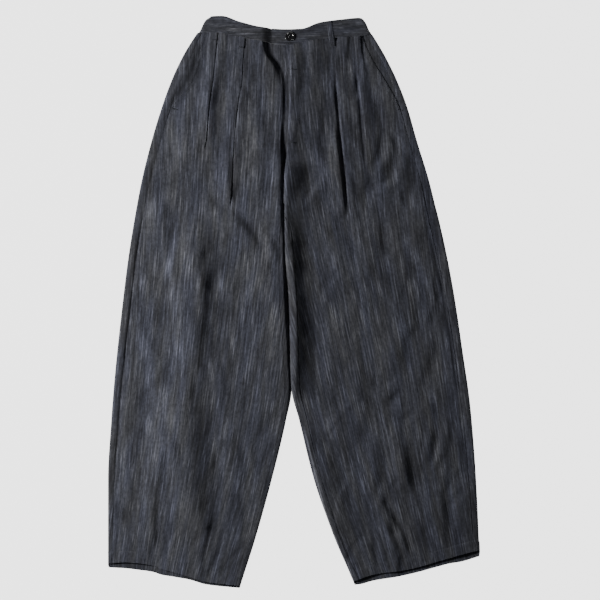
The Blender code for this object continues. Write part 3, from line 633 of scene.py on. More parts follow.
def centre_columns(leg, y, lap):
    """Inner end of a front above the crotch: the crease and the underlap, or the fly's lap."""
    inward = leg.inward
    under = back_level(y) + UNDERLAP_CLEARANCE
    end = leg.line["front_end"](y)
    if lap:
        below_fly = smoothstep(FLY_END_Y - 25, FLY_END_Y - 70, y)
        points = []
        for offset, dip in ((10.0, 0.0), (5.5, 0.1), (2.2, 0.45), (0.0, 1.0)):
            x = end - inward * offset
            level = leg.top_level(y)
            points.append((x, level + below_fly * dip * (under + 0.3 - level)))
        return densify(points, INNER_COLUMNS)
    crease = CREASE(y)
    end = max(end, crease + UNDERLAP_REACH)
    level = leg.top_level(y)
    points = [
        (crease - 10.0, level),
        (crease - 5.0, 0.85 * level + 0.15 * under),
        (crease, under + 0.35),
        (end, under),
    ]
    return densify(points, INNER_COLUMNS)


def seam_columns(leg, y):
    """Inner end of a front below the crotch, up to the inseam."""
    seam = leg.seam_sigma(y) - leg.half_gap(y)
    last = INNER_COLUMNS - 1
    return [leg.inner_turn(seam - 3 * EDGE_STEP * (1 - k / last), y) for k in range(INNER_COLUMNS)]


def back_section(leg, y):
    """Section points of a back panel: top of the outer edge, underneath, top of the inner edge."""
    inward = leg.inward
    side = leg.line["side"](y) - inward * HALF_SEAM
    start = leg.outer_edge(y) + inward * EDGE_ROUND
    low = back_level(y)
    top = leg.top_level(y)
    half = (top - low) / 2
    points = [(side, top - SEAM_STEP), ((side + start) / 2, top - 0.1 * SEAM_STEP)]
    for degrees in (90, 45, 0, -45, -90):
        angle = math.radians(degrees)
        points.append((start - inward * EDGE_ROUND * math.cos(angle), low + half + half * math.sin(angle)))
    if y > CROTCH_Y + 1:
        end = leg.line["inner"](y) + inward * CENTRE_OVERLAP
        inner = [(end - inward * CENTRE_STEP * k, low) for k in np.linspace(6, 0, BACK_INNER_COLUMNS)]
    else:
        seam = leg.seam_sigma(y) + leg.half_gap(y)
        reach = folded_edge(half)[1][-1] + 1.0
        inner = [leg.inner_turn(sigma, y) for sigma in np.linspace(reach, seam, BACK_INNER_COLUMNS)]
        drop = SEAM_STEP * smoothstep(CROTCH_Y - 40, CROTCH_Y - 90, y)
        inner[-1] = (inner[-1][0], inner[-1][1] - drop)
    for t in (0.25, 0.5, 0.75):
        points.append((points[6][0] + t * (inner[0][0] - points[6][0]), low))
    return points + inner


def across_crotch(section, y):
    """A section, with the step from the centre front to the inseam spread over a few millimetres."""
    above = CROTCH_Y + CROTCH_BLEND
    below = CROTCH_Y - 1
    if y >= above or y <= below:
        return section(y)
    t = (above - y) / (above - below)
    return (1 - t) * np.array(section(above)) + t * np.array(section(below))


def resample(control, splits):
    """Smooth sections through control points: rows x points x 2, with a count of steps for each interval."""
    points = np.swapaxes(control, 0, 1)
    step = np.diff(points, axis=0)
    span = np.maximum(np.hypot(step[..., 0], step[..., 1]), 1e-6)[..., None]
    tangent = tangents(step / span)
    parts = []
    for k, count in enumerate(splits):
        for n in range(count):
            parts.append(hermite(n / count, span[k], points[k], points[k + 1], tangent[k], tangent[k + 1]))
    parts.append(points[-1])
    return np.stack(parts, axis=1)


def offset_faces(section, thickness):
    """The two faces of a wall, half its thickness to each side of its section lines."""
    step = np.diff(section, axis=1)
    step /= np.maximum(np.linalg.norm(step, axis=2), 1e-9)[..., None]
    normal = np.stack((-step[..., 1], step[..., 0]), axis=2)
    before = np.concatenate((normal[:, :1], normal), axis=1)
    after = np.concatenate((normal, normal[:, -1:]), axis=1)
    scale = np.maximum(1 + np.sum(before * after, axis=2), 0.4)
    miter = (before + after) / scale[..., None]
    return section + miter * thickness / 2, section - miter * thickness / 2


def wall_mesh(name, outer, inner, grain_u, grain_v, material):
    """A closed wall between two grids of points in millimetres, with the grain as its UV map."""
    rows, columns = outer.shape[:2]
    count = rows * columns
    points = np.concatenate((outer.reshape(-1, 3), inner.reshape(-1, 3))) * MM
    index = np.arange(count).reshape(rows, columns)
    a, b = index[:-1, :-1].ravel(), index[:-1, 1:].ravel()
    c, d = index[1:, 1:].ravel(), index[1:, :-1].ravel()
    quads = [np.stack((a, b, c, d), 1), np.stack((a, d, c, b), 1) + count]
    for line, flip in ((index[0], False), (index[-1], True), (index[:, 0], True), (index[:, -1], False)):
        p, q = line[:-1], line[1:]
        rim = np.stack((q, p, p + count, q + count), 1)
        quads.append(rim[:, ::-1] if flip else rim)
    quads = np.concatenate(quads)
    mesh = bpy.data.meshes.new(name)
    mesh.vertices.add(len(points))
    mesh.vertices.foreach_set("co", points.ravel())
    mesh.loops.add(quads.size)
    mesh.loops.foreach_set("vertex_index", quads.ravel())
    mesh.polygons.add(len(quads))
    mesh.polygons.foreach_set("loop_start", np.arange(0, quads.size, 4))
    mesh.update(calc_edges=True)
    if signed_volume(points, quads) < 0:
        mesh.flip_normals()
    uv = mesh.uv_layers.new(name="Grain")
    corner = np.empty(len(mesh.loops), dtype=np.int32)
    mesh.loops.foreach_get("vertex_index", corner)
    values = np.stack((np.tile(grain_u.ravel(), 2), np.tile(grain_v.ravel(), 2)), 1) * MM
    uv.data.foreach_set("uv", values[corner].ravel())
    mesh.shade_smooth()
    mesh.set_sharp_from_angle(angle=math.radians(62))
    return new_piece(name, mesh, material)


def section_wall(name, line, heights, thickness, grain_u, material):
    """A closed wall on section lines, each point at its own height along the garment."""
    faces = [np.stack((f[..., 0], heights, f[..., 1]), axis=2) for f in offset_faces(line, thickness)]
    return wall_mesh(name, *faces, grain_u, heights, material)


def signed_volume(points, quads):
    p = points[quads]
    first = np.einsum("ij,ij->i", p[:, 0], np.cross(p[:, 1], p[:, 2])).sum()
    second = np.einsum("ij,ij->i", p[:, 0], np.cross(p[:, 2], p[:, 3])).sum()
    return first + second


def add_object(name, data):
    obj = bpy.data.objects.new(name, data)
    bpy.context.scene.collection.objects.link(obj)
    return obj


def new_piece(name, mesh, material):
    obj = add_object(name, mesh)
    obj.data.materials.append(material)
    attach(obj, "root")
    return obj


def panel(name, leg, section, splits, material, rows, lower=0.0):
    """A cloth panel of one leg on its solid's form, with the leg's creases on whatever lies on top."""
    control = np.array([across_crotch(section, float(y)) for y in rows])
    line = resample(control, splits)
    row_y = np.repeat(np.asarray(rows)[:, None], line.shape[1], axis=1)
    heights = leg.place(line[..., 0], line[..., 1], row_y)
    low = back_level(row_y)
    top = leg.top_level(row_y)
    share = np.clip((line[..., 1] + lower - low) / (top - low), 0, 1)
    relief = leg.relief(line[..., 0].ravel(), heights.ravel()).reshape(heights.shape)
    relief = np.maximum(relief, FRONT_LEVEL_MIN - top)
    line = line.copy()
    line[..., 1] += relief * share
    side = leg.line["side"](heights)
    across = np.clip((line[..., 0] - side) / (leg.line["front_end"](heights) - side), 0, 1)
    drift = leg.grain(heights) * (GRAIN_OUTER_SHARE + (GRAIN_INNER_SHARE - GRAIN_OUTER_SHARE) * across)
    return section_wall(name, line, heights, WALL, line[..., 0] - drift, material)


# Lights: place, target, width in metres, power, colour
KEY_LIGHT = ((-1.55, 0.25, 0.98), (-0.15, 0.0, 0.0), 0.34, 60.0, (1.0, 0.99, 0.98))
FILL_LIGHT = ((0.6, -0.5, 2.6), (0.0, 0.0, 0.0), 2.2, 1.0, (0.95, 0.97, 1.0))
GLINT_LIGHT = ((0.209, 0.488, 2.3), (0.0, 0.48, 0.0), 0.10, 1.2, (1.0, 1.0, 1.0))
WORLD_COLOUR = (0.95, 0.97, 1.0, 1.0)
WORLD_GLOW = 0.08
FLOOR_DIFFUSE = 0.05
FLOOR_GLOW = 3.1

CAMERA_PLACE = (0.0108, 0.0036, 3.004)
CAMERA_LENS = 100.0

# Stitch lines and bar tacks
HEM_STITCH_RISE = 19.5
HEM_STITCH_END_GAP = 3.0
MOUTH_STITCH_START_Y = 474.0
MOUTH_STITCH_INSETS = (2.0, 8.0)
BAND_STITCH_INSET = 2.4
BAND_STITCH_END_GAP = 6.0
LOOP_STITCH_OFFSET = 3.4
LOOP_TACK_INSET = 2.2
LOOP_TACK_REACH = 4.2
FLY_STITCH = ((13, 458), (12, 420), (11, 360), (10, 330), (6, 306), (-2, 292), (-9, 286))
FLY_ARC = ((-20, 461), (-22, 452), (-22, 446))
TACKS = (
    ((-148, 471), (-138, 471)),
    ((-223, 350), (-210, 346)),
    ((118, 470), (128, 470)),
    ((187, 347), (196, 345)),
    ((-10, 418), (4, 417)),
    ((-10, 287), (3, 285)),
)

# Pocket mouths, fly, loops and button
POCKET_MOUTH_END_Y = 345.0
POCKET_UNDERLAP = 12.0
FLY_FACING_WIDTH = 24.0
FACING_SPLITS = 5
BAND_LAP_END_X = -39.0
BAND_UNDERLAP_END_X = -12.0
BAND_RIDGE_START_X = -112.0
BAND_DIP_START_X = -59.0
BAND_DIP_END_X = -38.0
BAND_RIDGE = 5.6
BAND_BACK_TOP_DROP = 1.5
BAND_HEIGHT = 27.0
SIDE_SEAM_Y = 484.0
SIDE_TOP_Y = 513.0
BAND_ROWS = 30
BAND_FRONT_COLUMNS = 48
BAND_BACK_COLUMNS = 8
LOOP_WIDTH = 10.0
LOOP_LENGTH = 45.0
# Columns: top middle across, bottom middle across, level of the top end, level of the lower end
FRONT_LOOPS = {
    "belt_loop_front_right": (-89.5, -95.0, BAND_FRONT_LEVEL + 1.7, FRONT_LEVEL_WAIST + 4.5),
    "belt_loop_front_left": (63.0, 69.5, BAND_FRONT_LEVEL + 1.7, FRONT_LEVEL_WAIST + 1.3),
}
BACK_LOOPS = {
    "belt_loop_back_right": -95.0,
    "belt_loop_back_centre": -16.7,
    "belt_loop_back_left": 66.0,
}
BUTTON_CENTRE = (-7.2, 477.0)
BUTTON_RADIUS = 8.5
BUTTON_HEIGHT = 2.8
BUTTON_WELL_RADIUS = 5.0
BUTTON_WELL_DEPTH = 0.7
BUTTON_HOLE_OFFSET = 1.4
BUTTON_SIDES = 72


def set_sockets(shader_node, **sockets):
    """Sets numbers straight on a shader node's sockets."""
    for name, value in sockets.items():
        shader_node.inputs[name.replace("_", " ")].default_value = value
    return shader_node


def new_material(name, **sockets):
    """A material with its node tree and its main shader."""
    material = bpy.data.materials.new(name)
    material.use_nodes = True
    tree = material.node_tree
    return material, tree, set_sockets(tree.nodes["Principled BSDF"], **sockets)


def streaks(tree, grain, across, along, detail):
    """Noise drawn out along the grain. Sizes of one streak in metres."""
    mapping = tree.nodes.new("ShaderNodeMapping")
    mapping.inputs["Scale"].default_value = (1 / across, 1 / along, 1.0)
    tree.links.new(grain, mapping.inputs["Vector"])
    noise = set_sockets(tree.nodes.new("ShaderNodeTexNoise"), Scale=1.0, Detail=detail, Roughness=0.6)
    tree.links.new(mapping.outputs["Vector"], noise.inputs["Vector"])
    return noise.outputs["Fac"]


def ramp(tree, value, stops):
    made = tree.nodes.new("ShaderNodeValToRGB")
    while len(made.color_ramp.elements) < len(stops):
        made.color_ramp.elements.new(0.5)
    for element, (place, colour) in zip(made.color_ramp.elements, stops):
        element.position = place
        element.color = (*colour, 1.0)
    tree.links.new(value, made.inputs["Fac"])
    return made.outputs["Color"]


def mix(tree, factor, a, b, kind="MIX"):
    made = tree.nodes.new("ShaderNodeMixRGB")
    made.blend_type = kind
    for value, socket in ((factor, "Fac"), (a, "Color1"), (b, "Color2")):
        if hasattr(value, "links"):
            tree.links.new(value, made.inputs[socket])
        else:
            made.inputs[socket].default_value = value
    return made.outputs["Color"]


# Cloth colours, and shades that multiply them. Columns: place on the noise, shade
CLOTH_DARK = (0.020, 0.0212, 0.0275)
CLOTH_MIDDLE = (0.036, 0.038, 0.048)
CLOTH_LIGHT = (0.062, 0.065, 0.078)
CLOTH_THREAD = (0.150, 0.156, 0.185)
SLUB_SHARE = ((0.58, (0.0, 0.0, 0.0)), (0.72, (0.62, 0.62, 0.62)))
THIN_SHADES = ((0.28, (0.36, 0.36, 0.38)), (0.49, (1.0, 1.0, 1.0)), (0.70, (1.45, 1.45, 1.43)))
WEAVE_SHADES = ((0.30, (0.66, 0.66, 0.67)), (0.70, (1.30, 1.30, 1.28)))
PATCH_SHADES = ((0.32, (0.62, 0.62, 0.65)), (0.68, (1.24, 1.24, 1.22)))
HUE_SHADES = ((0.38, (0.97, 0.99, 1.12)), (0.62, (1.03, 1.01, 0.95)))


def cloth_material(name, along_u=False, brightness=1.0, shorter=1.0):
    """Slub cloth: dark charcoal navy with light streaks drawn out along the grain."""
    finish = {"Roughness": 0.88, "Sheen_Weight": 0.08, "Sheen_Roughness": 0.6, "Specular_IOR_Level": 0.25}
    material, tree, shader = new_material(name, **finish)
    uv = tree.nodes.new("ShaderNodeUVMap")
    uv.uv_map = "Grain"
    grain = uv.outputs["UV"]
    if along_u:
        split = tree.nodes.new("ShaderNodeSeparateXYZ")
        join = tree.nodes.new("ShaderNodeCombineXYZ")
        tree.links.new(grain, split.inputs["Vector"])
        tree.links.new(split.outputs["X"], join.inputs["Y"])
        tree.links.new(split.outputs["Y"], join.inputs["X"])
        grain = join.outputs["Vector"]
    tones = (CLOTH_DARK, CLOTH_MIDDLE, CLOTH_LIGHT, CLOTH_THREAD)
    dark, middle, light, thread = (tuple(c * brightness for c in tone) for tone in tones)
    broad = streaks(tree, grain, 0.0060, 0.080 * shorter, 4.0)
    thin = streaks(tree, grain, 0.0030, 0.050 * shorter, 2.5)
    weave = streaks(tree, grain, 0.0040, 0.0065, 2.0)
    patch = streaks(tree, grain, 0.050, 0.090, 4.0)
    hue = streaks(tree, grain, 0.030, 0.160, 2.0)
    colour = ramp(tree, broad, ((0.26, dark), (0.50, middle), (0.76, light)))
    for noise, shades in ((thin, THIN_SHADES), (weave, WEAVE_SHADES)):
        colour = mix(tree, 1.0, colour, ramp(tree, noise, shades), "MULTIPLY")
    colour = mix(tree, ramp(tree, thin, SLUB_SHARE), colour, (*thread, 1.0))
    for noise, shades in ((patch, PATCH_SHADES), (hue, HUE_SHADES)):
        colour = mix(tree, 1.0, colour, ramp(tree, noise, shades), "MULTIPLY")
    tree.links.new(colour, shader.inputs["Base Color"])
    bump = set_sockets(tree.nodes.new("ShaderNodeBump"), Strength=0.35, Distance=0.0006)
    tree.links.new(thin, bump.inputs["Height"])
    tree.links.new(bump.outputs["Normal"], shader.inputs["Normal"])
    return material


def plain_material(name, colour, roughness, coat=0.0):
    """A plain finish with a slight unevenness from a noise."""
    material, tree, shader = new_material(name, Roughness=roughness, Coat_Weight=coat, Coat_Roughness=0.04)
    noise = set_sockets(tree.nodes.new("ShaderNodeTexNoise"), Scale=900.0, Detail=2.0)
    low = tuple(c * 0.8 for c in colour)
    high = tuple(min(c * 1.2, 1.0) for c in colour)
    tree.links.new(ramp(tree, noise.outputs["Fac"], ((0.3, low), (0.7, high))), shader.inputs["Base Color"])
    return material


CLOTH = cloth_material("slub_cloth_front")
# A darker copy of the same slub cloth, painted shade: used on the wearer's right back, its pocket facing and
# the fly facing. The wearer's left back keeps the cloth's own brightness
CLOTH_BACK_PAINTED_SHADE = cloth_material("slub_cloth_back", brightness=0.74)
CLOTH_BACK_LEFT = cloth_material("slub_cloth_back_left")
CLOTH_BAND = cloth_material("slub_cloth_band", along_u=True, brightness=0.88, shorter=0.5)
THREAD = plain_material("sewing_thread", (0.022, 0.024, 0.032), 0.6)
BUTTON = plain_material("button_gloss", (0.006, 0.006, 0.007), 0.12, coat=1.0)


def make_front(name, leg, lap):
    pleat = [FRONT_PLEAT_SPLITS] * 6
    between = [FRONT_BETWEEN_SPLITS] * 3
    splits = between + pleat + between + pleat + [FRONT_FLAT_SPLITS] * 5 + [2] * (INNER_COLUMNS - 1)
    return panel(name, leg, lambda y: front_section(leg, y, lap), splits, CLOTH, PANEL_ROWS)


def make_back(name, leg, material):
    splits = [BACK_EDGE_SPLITS] * 6 + [BACK_FLAT_SPLITS] * 4 + [1] * (BACK_INNER_COLUMNS - 1)
    return panel(name, leg, lambda y: back_section(leg, y), splits, material, PANEL_ROWS)


def make_facing(name, leg, ends, stop_y, row_count, shares, material):
    """A narrow piece one wall below a front panel, from the waist down. Ends gives its two sides."""

    def section(y):
        start, end = ends(y)
        return [(start + t * (end - start), leg.top_level(y) - WALL - SEAM_GAP) for t in shares]

    splits = [FACING_SPLITS] * (len(shares) - 1)
    rows = np.linspace(WAIST_Y, stop_y, row_count)
    return panel(name, leg, section, splits, material, rows, lower=WALL + SEAM_GAP)


def make_pocket_facing(name, leg, material):
    """The hip piece that shows in the pocket mouth."""

    def ends(y):
        start = leg.line["side"](y) + leg.inward * HALF_SEAM
        return start, leg.line["mouth"](y) + leg.inward * POCKET_UNDERLAP

    return make_facing(name, leg, ends, POCKET_MOUTH_END_Y, 34, (0.0, 0.25, 0.5, 0.75, 1.0), material)


def make_fly_facing():
    """The turned strip under the lap of the fly, on the wearer's left front."""

    def ends(y):
        start = LEFT_LEG.line["front_end"](y) + 0.5
        return start, start + FLY_FACING_WIDTH

    # The fly facing under the lap takes the darker copy of the cloth, painted shade
    return make_facing("fly_facing_cloth", LEFT_LEG, ends, FLY_END_Y, 44, (0.0, 0.33, 0.66, 1.0), CLOTH_BACK_PAINTED_SHADE)


def right_band_level(x):
    """The right half dips under the lap before it ends."""
    dip = smoothstep(BAND_DIP_START_X, BAND_DIP_END_X, x)
    ridge = BAND_RIDGE * smoothstep(BAND_RIDGE_START_X, BAND_DIP_START_X, x) * (1 - dip)
    return BAND_FRONT_LEVEL + ridge + dip * (BAND_UNDER_LEVEL - BAND_FRONT_LEVEL)


def make_waistband(name, outline_column, leg, front_end, levels):
    """Half a waistband: from its front end over the top, round the side and back underneath."""
    inward = leg.inward
    outline = Curve(BAND_OUTLINE, outline_column)
    centre_back = leg.line["inner"](WAIST_Y) - inward * HALF_SEAM
    half = (BAND_FRONT_LEVEL - BAND_BACK_LEVEL) / 2
    turn = EDGE_ROUND + 1
    shares = np.linspace(0, 1, BAND_ROWS)
    seam_at_side = WAIST_SEAM(outline(SIDE_SEAM_Y))
    top_at_side = WAIST_TOP(outline(SIDE_TOP_Y))
    control = []
    for share in shares:
        corner = seam_at_side + share * (top_at_side - seam_at_side)
        start = outline(corner) + inward * (BAND_WALL / 2 + turn)
        points = [(x, levels(x)) for x in np.linspace(front_end, start, BAND_FRONT_COLUMNS)]
        for degrees in (55, 20, -20, -55):
            angle = math.radians(degrees)
            x = start - inward * turn * math.cos(angle)
            points.append((x, BAND_BACK_LEVEL + half + half * math.sin(angle)))
        points.extend((x, BAND_BACK_LEVEL) for x in np.linspace(start, centre_back, BAND_BACK_COLUMNS))
        control.append(points)
    splits = [2] * (BAND_FRONT_COLUMNS - 1) + [4] * 5 + [6] * (BAND_BACK_COLUMNS - 1)
    line = resample(np.array(control), splits)
    x = line[..., 0]
    z = line[..., 1]
    on_top = np.clip((z - BAND_BACK_LEVEL) / (2 * half), 0, 1)
    drop = BAND_BACK_TOP_DROP * (1 - on_top)
    seam = WAIST_SEAM(x)
    share = shares[:, None]
    heights = seam + share * (WAIST_TOP(x) - drop - seam)
    bulge = 0.45 * np.sin(math.pi * share) ** 0.5
    ripple = 0.22 * np.sin(x / 5.3 + 2 * np.sin(x / 31.0)) * np.abs(2 * share - 1) ** 2
    for place in (BAND_STITCH_INSET, BAND_HEIGHT - BAND_STITCH_INSET):
        bulge = bulge - 0.3 * np.exp(-((share * BAND_HEIGHT - place) / 0.8) ** 2)
    line[..., 1] += on_top * (bulge + ripple)
    return section_wall(name, line, heights, BAND_WALL, x, CLOTH_BAND)


def make_loop(name, top_x, bottom_x, top_level, low_level, worked=1.0):
    """A belt loop from the band's top edge to a little below the waist seam, its edges turned down."""
    top_y = WAIST_TOP(top_x) - 1.0
    over_seam = max(top_level, low_level)
    ends = ((0.0, top_level), (0.3, top_level), (0.7, over_seam), (0.82, low_level), (1.0, low_level))
    levels = Curve(ends)
    shares = np.linspace(0.0, 1.0, 36)[:, None]
    across = np.linspace(-0.5, 0.5, 13)[None, :]
    x = top_x + shares * (bottom_x - top_x) + LOOP_WIDTH * across
    y = top_y - shares * LOOP_LENGTH + 0 * across
    round_off = -0.3 * np.abs(2 * across) ** 5
    tack = -0.25 * (np.exp(-((shares - 0.05) / 0.02) ** 2) + np.exp(-((shares - 0.95) / 0.02) ** 2))
    ribs = 0.12 * np.cos(6 * math.pi * across) * (np.abs(across) < 0.4)
    z = levels(shares) + worked * (round_off + tack + ribs)
    outer = np.stack((x, y, z + WALL / 2), axis=2)
    inner = np.stack((x, y, z - WALL / 2), axis=2)
    return wall_mesh(name, outer, inner, x, y, CLOTH)


def make_button():
    """A turned button with a rim, a well and four thread holes."""
    base = BAND_FRONT_LEVEL + BAND_WALL / 2 + SEAM_GAP
    profile = [(0.0, 0.0), (BUTTON_RADIUS - 1.0, 0.0)]
    for k in range(1, 9):
        angle = math.radians(-90 + 180 * k / 8)
        profile.append((BUTTON_RADIUS - 1.0 + math.cos(angle), 1.4 + 1.4 * math.sin(angle)))
    profile.append((BUTTON_WELL_RADIUS + 1.0, BUTTON_HEIGHT - 0.05))
    profile.append((BUTTON_WELL_RADIUS + 0.5, BUTTON_HEIGHT - 0.2))
    floor = BUTTON_HEIGHT - BUTTON_WELL_DEPTH
    for radius in np.linspace(BUTTON_WELL_RADIUS, 0.0, 22):
        profile.append((radius, floor - 0.35 + 0.35 * (radius / BUTTON_WELL_RADIUS) ** 2))
    angles = np.linspace(0, 2 * math.pi, BUTTON_SIDES, endpoint=False)
    points = []
    for radius, height in profile:
        x = radius * np.cos(angles)
        y = radius * np.sin(angles)
        z = np.full(BUTTON_SIDES, height)
        if height > floor - 0.4 and radius <= BUTTON_WELL_RADIUS:
            # All four holes at once, by the distance to the nearest
            away = np.hypot(np.abs(x) - BUTTON_HOLE_OFFSET, np.abs(y) - BUTTON_HOLE_OFFSET)
            z -= 1.3 * smoothstep(0.95, 0.6, away)
        points.append(np.stack((x + BUTTON_CENTRE[0], y + BUTTON_CENTRE[1], z + base), axis=1))
    index = np.arange(len(profile) * BUTTON_SIDES).reshape(-1, BUTTON_SIDES)
    after = np.roll(index, -1, axis=1)
    quads = np.stack((index[:-1], after[:-1], after[1:], index[1:]), axis=2).reshape(-1, 4)
    mesh = bpy.data.meshes.new("waist_button_gloss")
    mesh.from_pydata((np.concatenate(points) * MM).tolist(), [], quads.tolist())
    button = new_piece("waist_button_gloss", mesh, BUTTON)
    tidy_mesh(button)
    return button


def tidy_mesh(obj):
    """Joins points that lie on each other and turns every face outward."""
    bm = bmesh.new()
    bm.from_mesh(obj.data)
    bmesh.ops.remove_doubles(bm, verts=bm.verts, dist=1e-6)
    bmesh.ops.dissolve_degenerate(bm, edges=bm.edges, dist=1e-7)
    bmesh.ops.recalc_face_normals(bm, faces=bm.faces)
    bm.to_mesh(obj.data)
    bm.free()
    obj.data.shade_smooth()
    obj.data.set_sharp_from_angle(angle=math.radians(50))


front_right = make_front("front_right_cloth", RIGHT_LEG, False)
front_left = make_front("front_left_cloth", LEFT_LEG, True)
# The wearer's right back and its pocket facing take the darker copy of the cloth, painted shade
back_right = make_back("back_right_cloth", RIGHT_LEG, CLOTH_BACK_PAINTED_SHADE)
back_left = make_back("back_left_cloth", LEFT_LEG, CLOTH_BACK_LEFT)
facing_right = make_pocket_facing("pocket_facing_right_cloth", RIGHT_LEG, CLOTH_BACK_PAINTED_SHADE)
facing_left = make_pocket_facing("pocket_facing_left_cloth", LEFT_LEG, CLOTH_BACK_LEFT)
fly_facing = make_fly_facing()
band_right = make_waistband("waistband_right_cloth", 1, RIGHT_LEG, BAND_UNDERLAP_END_X, right_band_level)
band_left = make_waistband("waistband_left_cloth", 2, LEFT_LEG, BAND_LAP_END_X, lambda x: BAND_FRONT_LEVEL)
loops = {}
for name, place in FRONT_LOOPS.items():
    loops[name] = make_loop(name + "_cloth", *place)
for name, middle in BACK_LOOPS.items():
    loops[name] = make_loop(name + "_cloth", middle, middle, BACK_LEVEL, BACK_LEVEL, worked=0.0)
button = make_button()


def top_finder(objects):
    """Finds the height and slope of the uppermost surface of some pieces, in millimetres."""
    vertices = []
    polygons = []
    for obj in objects:
        start = len(vertices)
        vertices.extend(vertex.co.copy() for vertex in obj.data.vertices)
        polygons.extend([start + i for i in polygon.vertices] for polygon in obj.data.polygons)
    tree = BVHTree.FromPolygons(vertices, polygons)

    def find(x, y):
        hit, normal, _, _ = tree.ray_cast(Vector((x * MM, y * MM, 0.1)), Vector((0, 0, -1)))
        if hit is None:
            return None
        return hit.z / MM, normal

    return find


def walk(points, step):
    """Places at even steps along a line of points, with the direction there."""
    line = np.array(points, dtype=float)
    parts = np.hypot(*np.diff(line, axis=0).T)
    run = np.concatenate(([0.0], np.cumsum(parts)))
    for place in np.arange(step / 2, run[-1], step):
        i = min(int(np.searchsorted(run, place)) - 1, len(parts) - 1)
        t = (place - run[i]) / parts[i]
        yield line[i] + t * (line[i + 1] - line[i]), (line[i + 1] - line[i]) / parts[i]


class Sewing:
    """Collects small thread stitches into one mesh."""

    def __init__(self, find):
        self.find = find
        self.points = []
        self.faces = []

    def stitch(self, x, y, direction, length, width=0.7, height=0.32):
        """One stitch: a low six-sided bead of thread lying on the cloth."""
        found = self.find(x, y)
        if found is None:
            return
        z, normal = found
        if normal.z < 0.35:
            return
        along = Vector((direction[0], direction[1], 0.0))
        along = (along - normal * along.dot(normal)).normalized()
        across = normal.cross(along)
        centre = Vector((x, y, z))
        start = len(self.points)
        for place, swell in ((-0.5, 0.45), (-0.28, 1.0), (0.28, 1.0), (0.5, 0.45)):
            middle = centre + along * length * place
            for side, lift in ((-0.5, -0.15), (-0.32, 0.75), (0.32, 0.75), (0.5, -0.15)):
                point = middle + across * (width * swell * side) + normal * (height * swell * lift)
                self.points.append(tuple(c * MM for c in point))
        for ring in range(3):
            a = start + 4 * ring
            for k in range(4):
                n = (k + 1) % 4
                self.faces.append((a + k, a + n, a + 4 + n, a + 4 + k))
        self.faces.append((start + 3, start + 2, start + 1, start))
        self.faces.append((start + 12, start + 13, start + 14, start + 15))

    def run(self, points, step=3.3, fill=0.72):
        for place, direction in walk(points, step):
            self.stitch(place[0], place[1], direction, step * fill)

    def tack(self, start, end, width=2.2):
        """A bar tack: close stitches across a short line."""
        start = np.array(start, dtype=float)
        end = np.array(end, dtype=float)
        direction = (end - start) / np.linalg.norm(end - start)
        across = np.array((-direction[1], direction[0]))
        for place, _ in walk((start, end), 0.62):
            self.stitch(place[0], place[1], across, width, width=0.6, height=0.55)

    def finish(self, name):
        mesh = bpy.data.meshes.new(name)
        mesh.from_pydata(self.points, [], self.faces)
        mesh.shade_smooth()
        mesh.set_sharp_from_angle(angle=math.radians(70))
        return new_piece(name, mesh, THREAD)


def hem_line(leg):
    """Places along a hem's stitch line."""
    first = leg.line["side"](HEM_Y) + leg.inward * HEM_STITCH_END_GAP
    last = leg.line["front_end"](HEM_Y) - leg.inward * HEM_STITCH_END_GAP
    return [(x, leg.hem(x) + HEM_STITCH_RISE) for x in np.linspace(first, last, 90)]


def mouth_line(leg, inset):
    """Places beside a pocket mouth, bent with the waist seam."""
    places = []
    for y in np.linspace(MOUTH_STITCH_START_Y, POCKET_MOUTH_END_Y, 70):
        x = leg.line["mouth"](y) + inset
        places.append((x, float(leg.place(x, FRONT_LEVEL_WAIST, y))))
    return places


def band_line(outline_column, front_end, leg, share, drop):
    """Places along a waistband half, at a share of its height and a further drop."""
    outline = Curve(BAND_OUTLINE, outline_column)
    side = outline(WAIST_SEAM(outline(SIDE_SEAM_Y)) + BAND_HEIGHT / 2) + leg.inward * BAND_STITCH_END_GAP
    places = np.linspace(front_end, side, 80)
    return [(x, WAIST_SEAM(x) + share * (WAIST_TOP(x) - WAIST_SEAM(x)) + drop) for x in places]


cloth = [front_right, front_left, back_right, back_left, facing_right, facing_left, band_right, band_left]
find_top = top_finder(cloth + list(loops.values()))

fronts = Sewing(find_top)
for leg in (RIGHT_LEG, LEFT_LEG):
    fronts.run(hem_line(leg))
    for inset in MOUTH_STITCH_INSETS:
        fronts.run(mouth_line(leg, leg.inward * inset))
fronts.run(FLY_STITCH)
fronts.run(FLY_ARC)
for start, end in TACKS:
    fronts.tack(start, end)
front_stitches = fronts.finish("front_stitches")

bands = Sewing(find_top)
for column, end_x, leg in ((1, BAND_DIP_START_X - 4, RIGHT_LEG), (2, BAND_LAP_END_X + 3, LEFT_LEG)):
    bands.run(band_line(column, end_x, leg, 0.0, BAND_STITCH_INSET))
    bands.run(band_line(column, end_x, leg, 1.0, -BAND_STITCH_INSET))
band_stitches = bands.finish("waistband_stitches")

loop_sewing = Sewing(find_top)
for top_x, bottom_x, _, _ in FRONT_LOOPS.values():
    top_y = WAIST_TOP(top_x) - 1.0
    low_y = top_y - LOOP_LENGTH
    for offset in (-LOOP_STITCH_OFFSET, LOOP_STITCH_OFFSET):
        loop_sewing.run(((top_x + offset, top_y - 1), (bottom_x + offset, low_y + 1)), 2.9)
    for x, y in ((top_x, top_y - LOOP_TACK_INSET), (bottom_x, low_y + LOOP_TACK_INSET)):
        loop_sewing.tack((x - LOOP_TACK_REACH, y), (x + LOOP_TACK_REACH, y))
loop_stitches = loop_sewing.finish("belt_loop_stitches")
for stitches in (front_stitches, band_stitches, loop_stitches):
    tidy_mesh(stitches)

for piece in (*cloth, fly_facing, *loops.values()):
    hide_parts(piece.name.removesuffix("_cloth"))
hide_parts("waist_button")

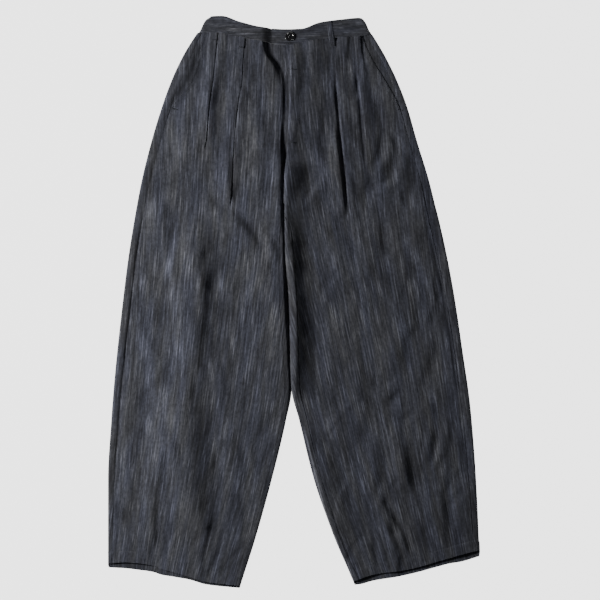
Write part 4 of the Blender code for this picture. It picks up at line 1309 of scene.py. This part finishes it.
# Columns: piece, width and length of its cut in metres, area of its cut, what it lies on
SHEETS = (
    (front_right, (0.300, 1.010), 0.2545, [back_right, facing_right]),
    (front_left, (0.290, 0.990), 0.2480, [back_left, facing_left, fly_facing, front_right]),
    (back_right, (0.350, 0.990), 0.2850, ["studio_floor"]),
    (back_left, (0.358, 0.990), 0.2870, ["studio_floor"]),
    (facing_right, (0.034, 0.158), 0.0039, [back_right]),
    (facing_left, (0.030, 0.150), 0.0031, [back_left]),
    (fly_facing, (0.028, 0.181), 0.0046, [front_right]),
    (band_right, (0.320, 0.038), 0.0088, ["studio_floor"]),
    (band_left, (0.342, 0.037), 0.0099, ["studio_floor", band_right]),
)
for piece, flat, area, under in SHEETS:
    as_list(under)
for name, loop in loops.items():
    under = "studio_floor" if name in BACK_LOOPS else name.replace("belt_loop_front", "waistband")


def stage_floor():
    """A plain pale floor that stays even under the light."""
    bpy.ops.mesh.primitive_plane_add(size=8.0, location=(0, 0, 0))
    floor = bpy.context.object
    floor.name = "studio_floor"
    material, _, shader = new_material("studio_floor", Roughness=1.0, Specular_IOR_Level=0.0)
    grey = (FLOOR_DIFFUSE, FLOOR_DIFFUSE, FLOOR_DIFFUSE, 1.0)
    set_sockets(shader, Base_Color=grey, Emission_Color=(1.0, 1.0, 1.0, 1.0), Emission_Strength=FLOOR_GLOW)
    floor.data.materials.append(material)


def area_light(name, place, target, size, power, colour):
    """A round soft light."""
    light = bpy.data.lights.new(name, "AREA")
    light.shape = "DISK"
    light.size = size
    light.energy = power
    light.color = colour
    obj = add_object(name, light)
    obj.location = place
    aim = Vector(target) - Vector(place)
    obj.rotation_euler = aim.to_track_quat("-Z", "Y").to_euler()
    return obj


stage_floor()
area_light("key_light", *KEY_LIGHT)
fill = area_light("fill_light", *FILL_LIGHT)
fill.visible_glossy = False
# This one shows only as the button's highlight
glint = area_light("glint_light", *GLINT_LIGHT)
glint.visible_diffuse = False

world = bpy.data.worlds.new("studio_world")
world.use_nodes = True
set_sockets(world.node_tree.nodes["Background"], Color=WORLD_COLOUR, Strength=WORLD_GLOW)
bpy.context.scene.world = world

camera = add_object("camera", bpy.data.cameras.new("camera"))
camera.data.lens = CAMERA_LENS
camera.data.sensor_width = 36.0
camera.data.clip_end = 20.0
camera.location = CAMERA_PLACE
bpy.context.scene.camera = camera
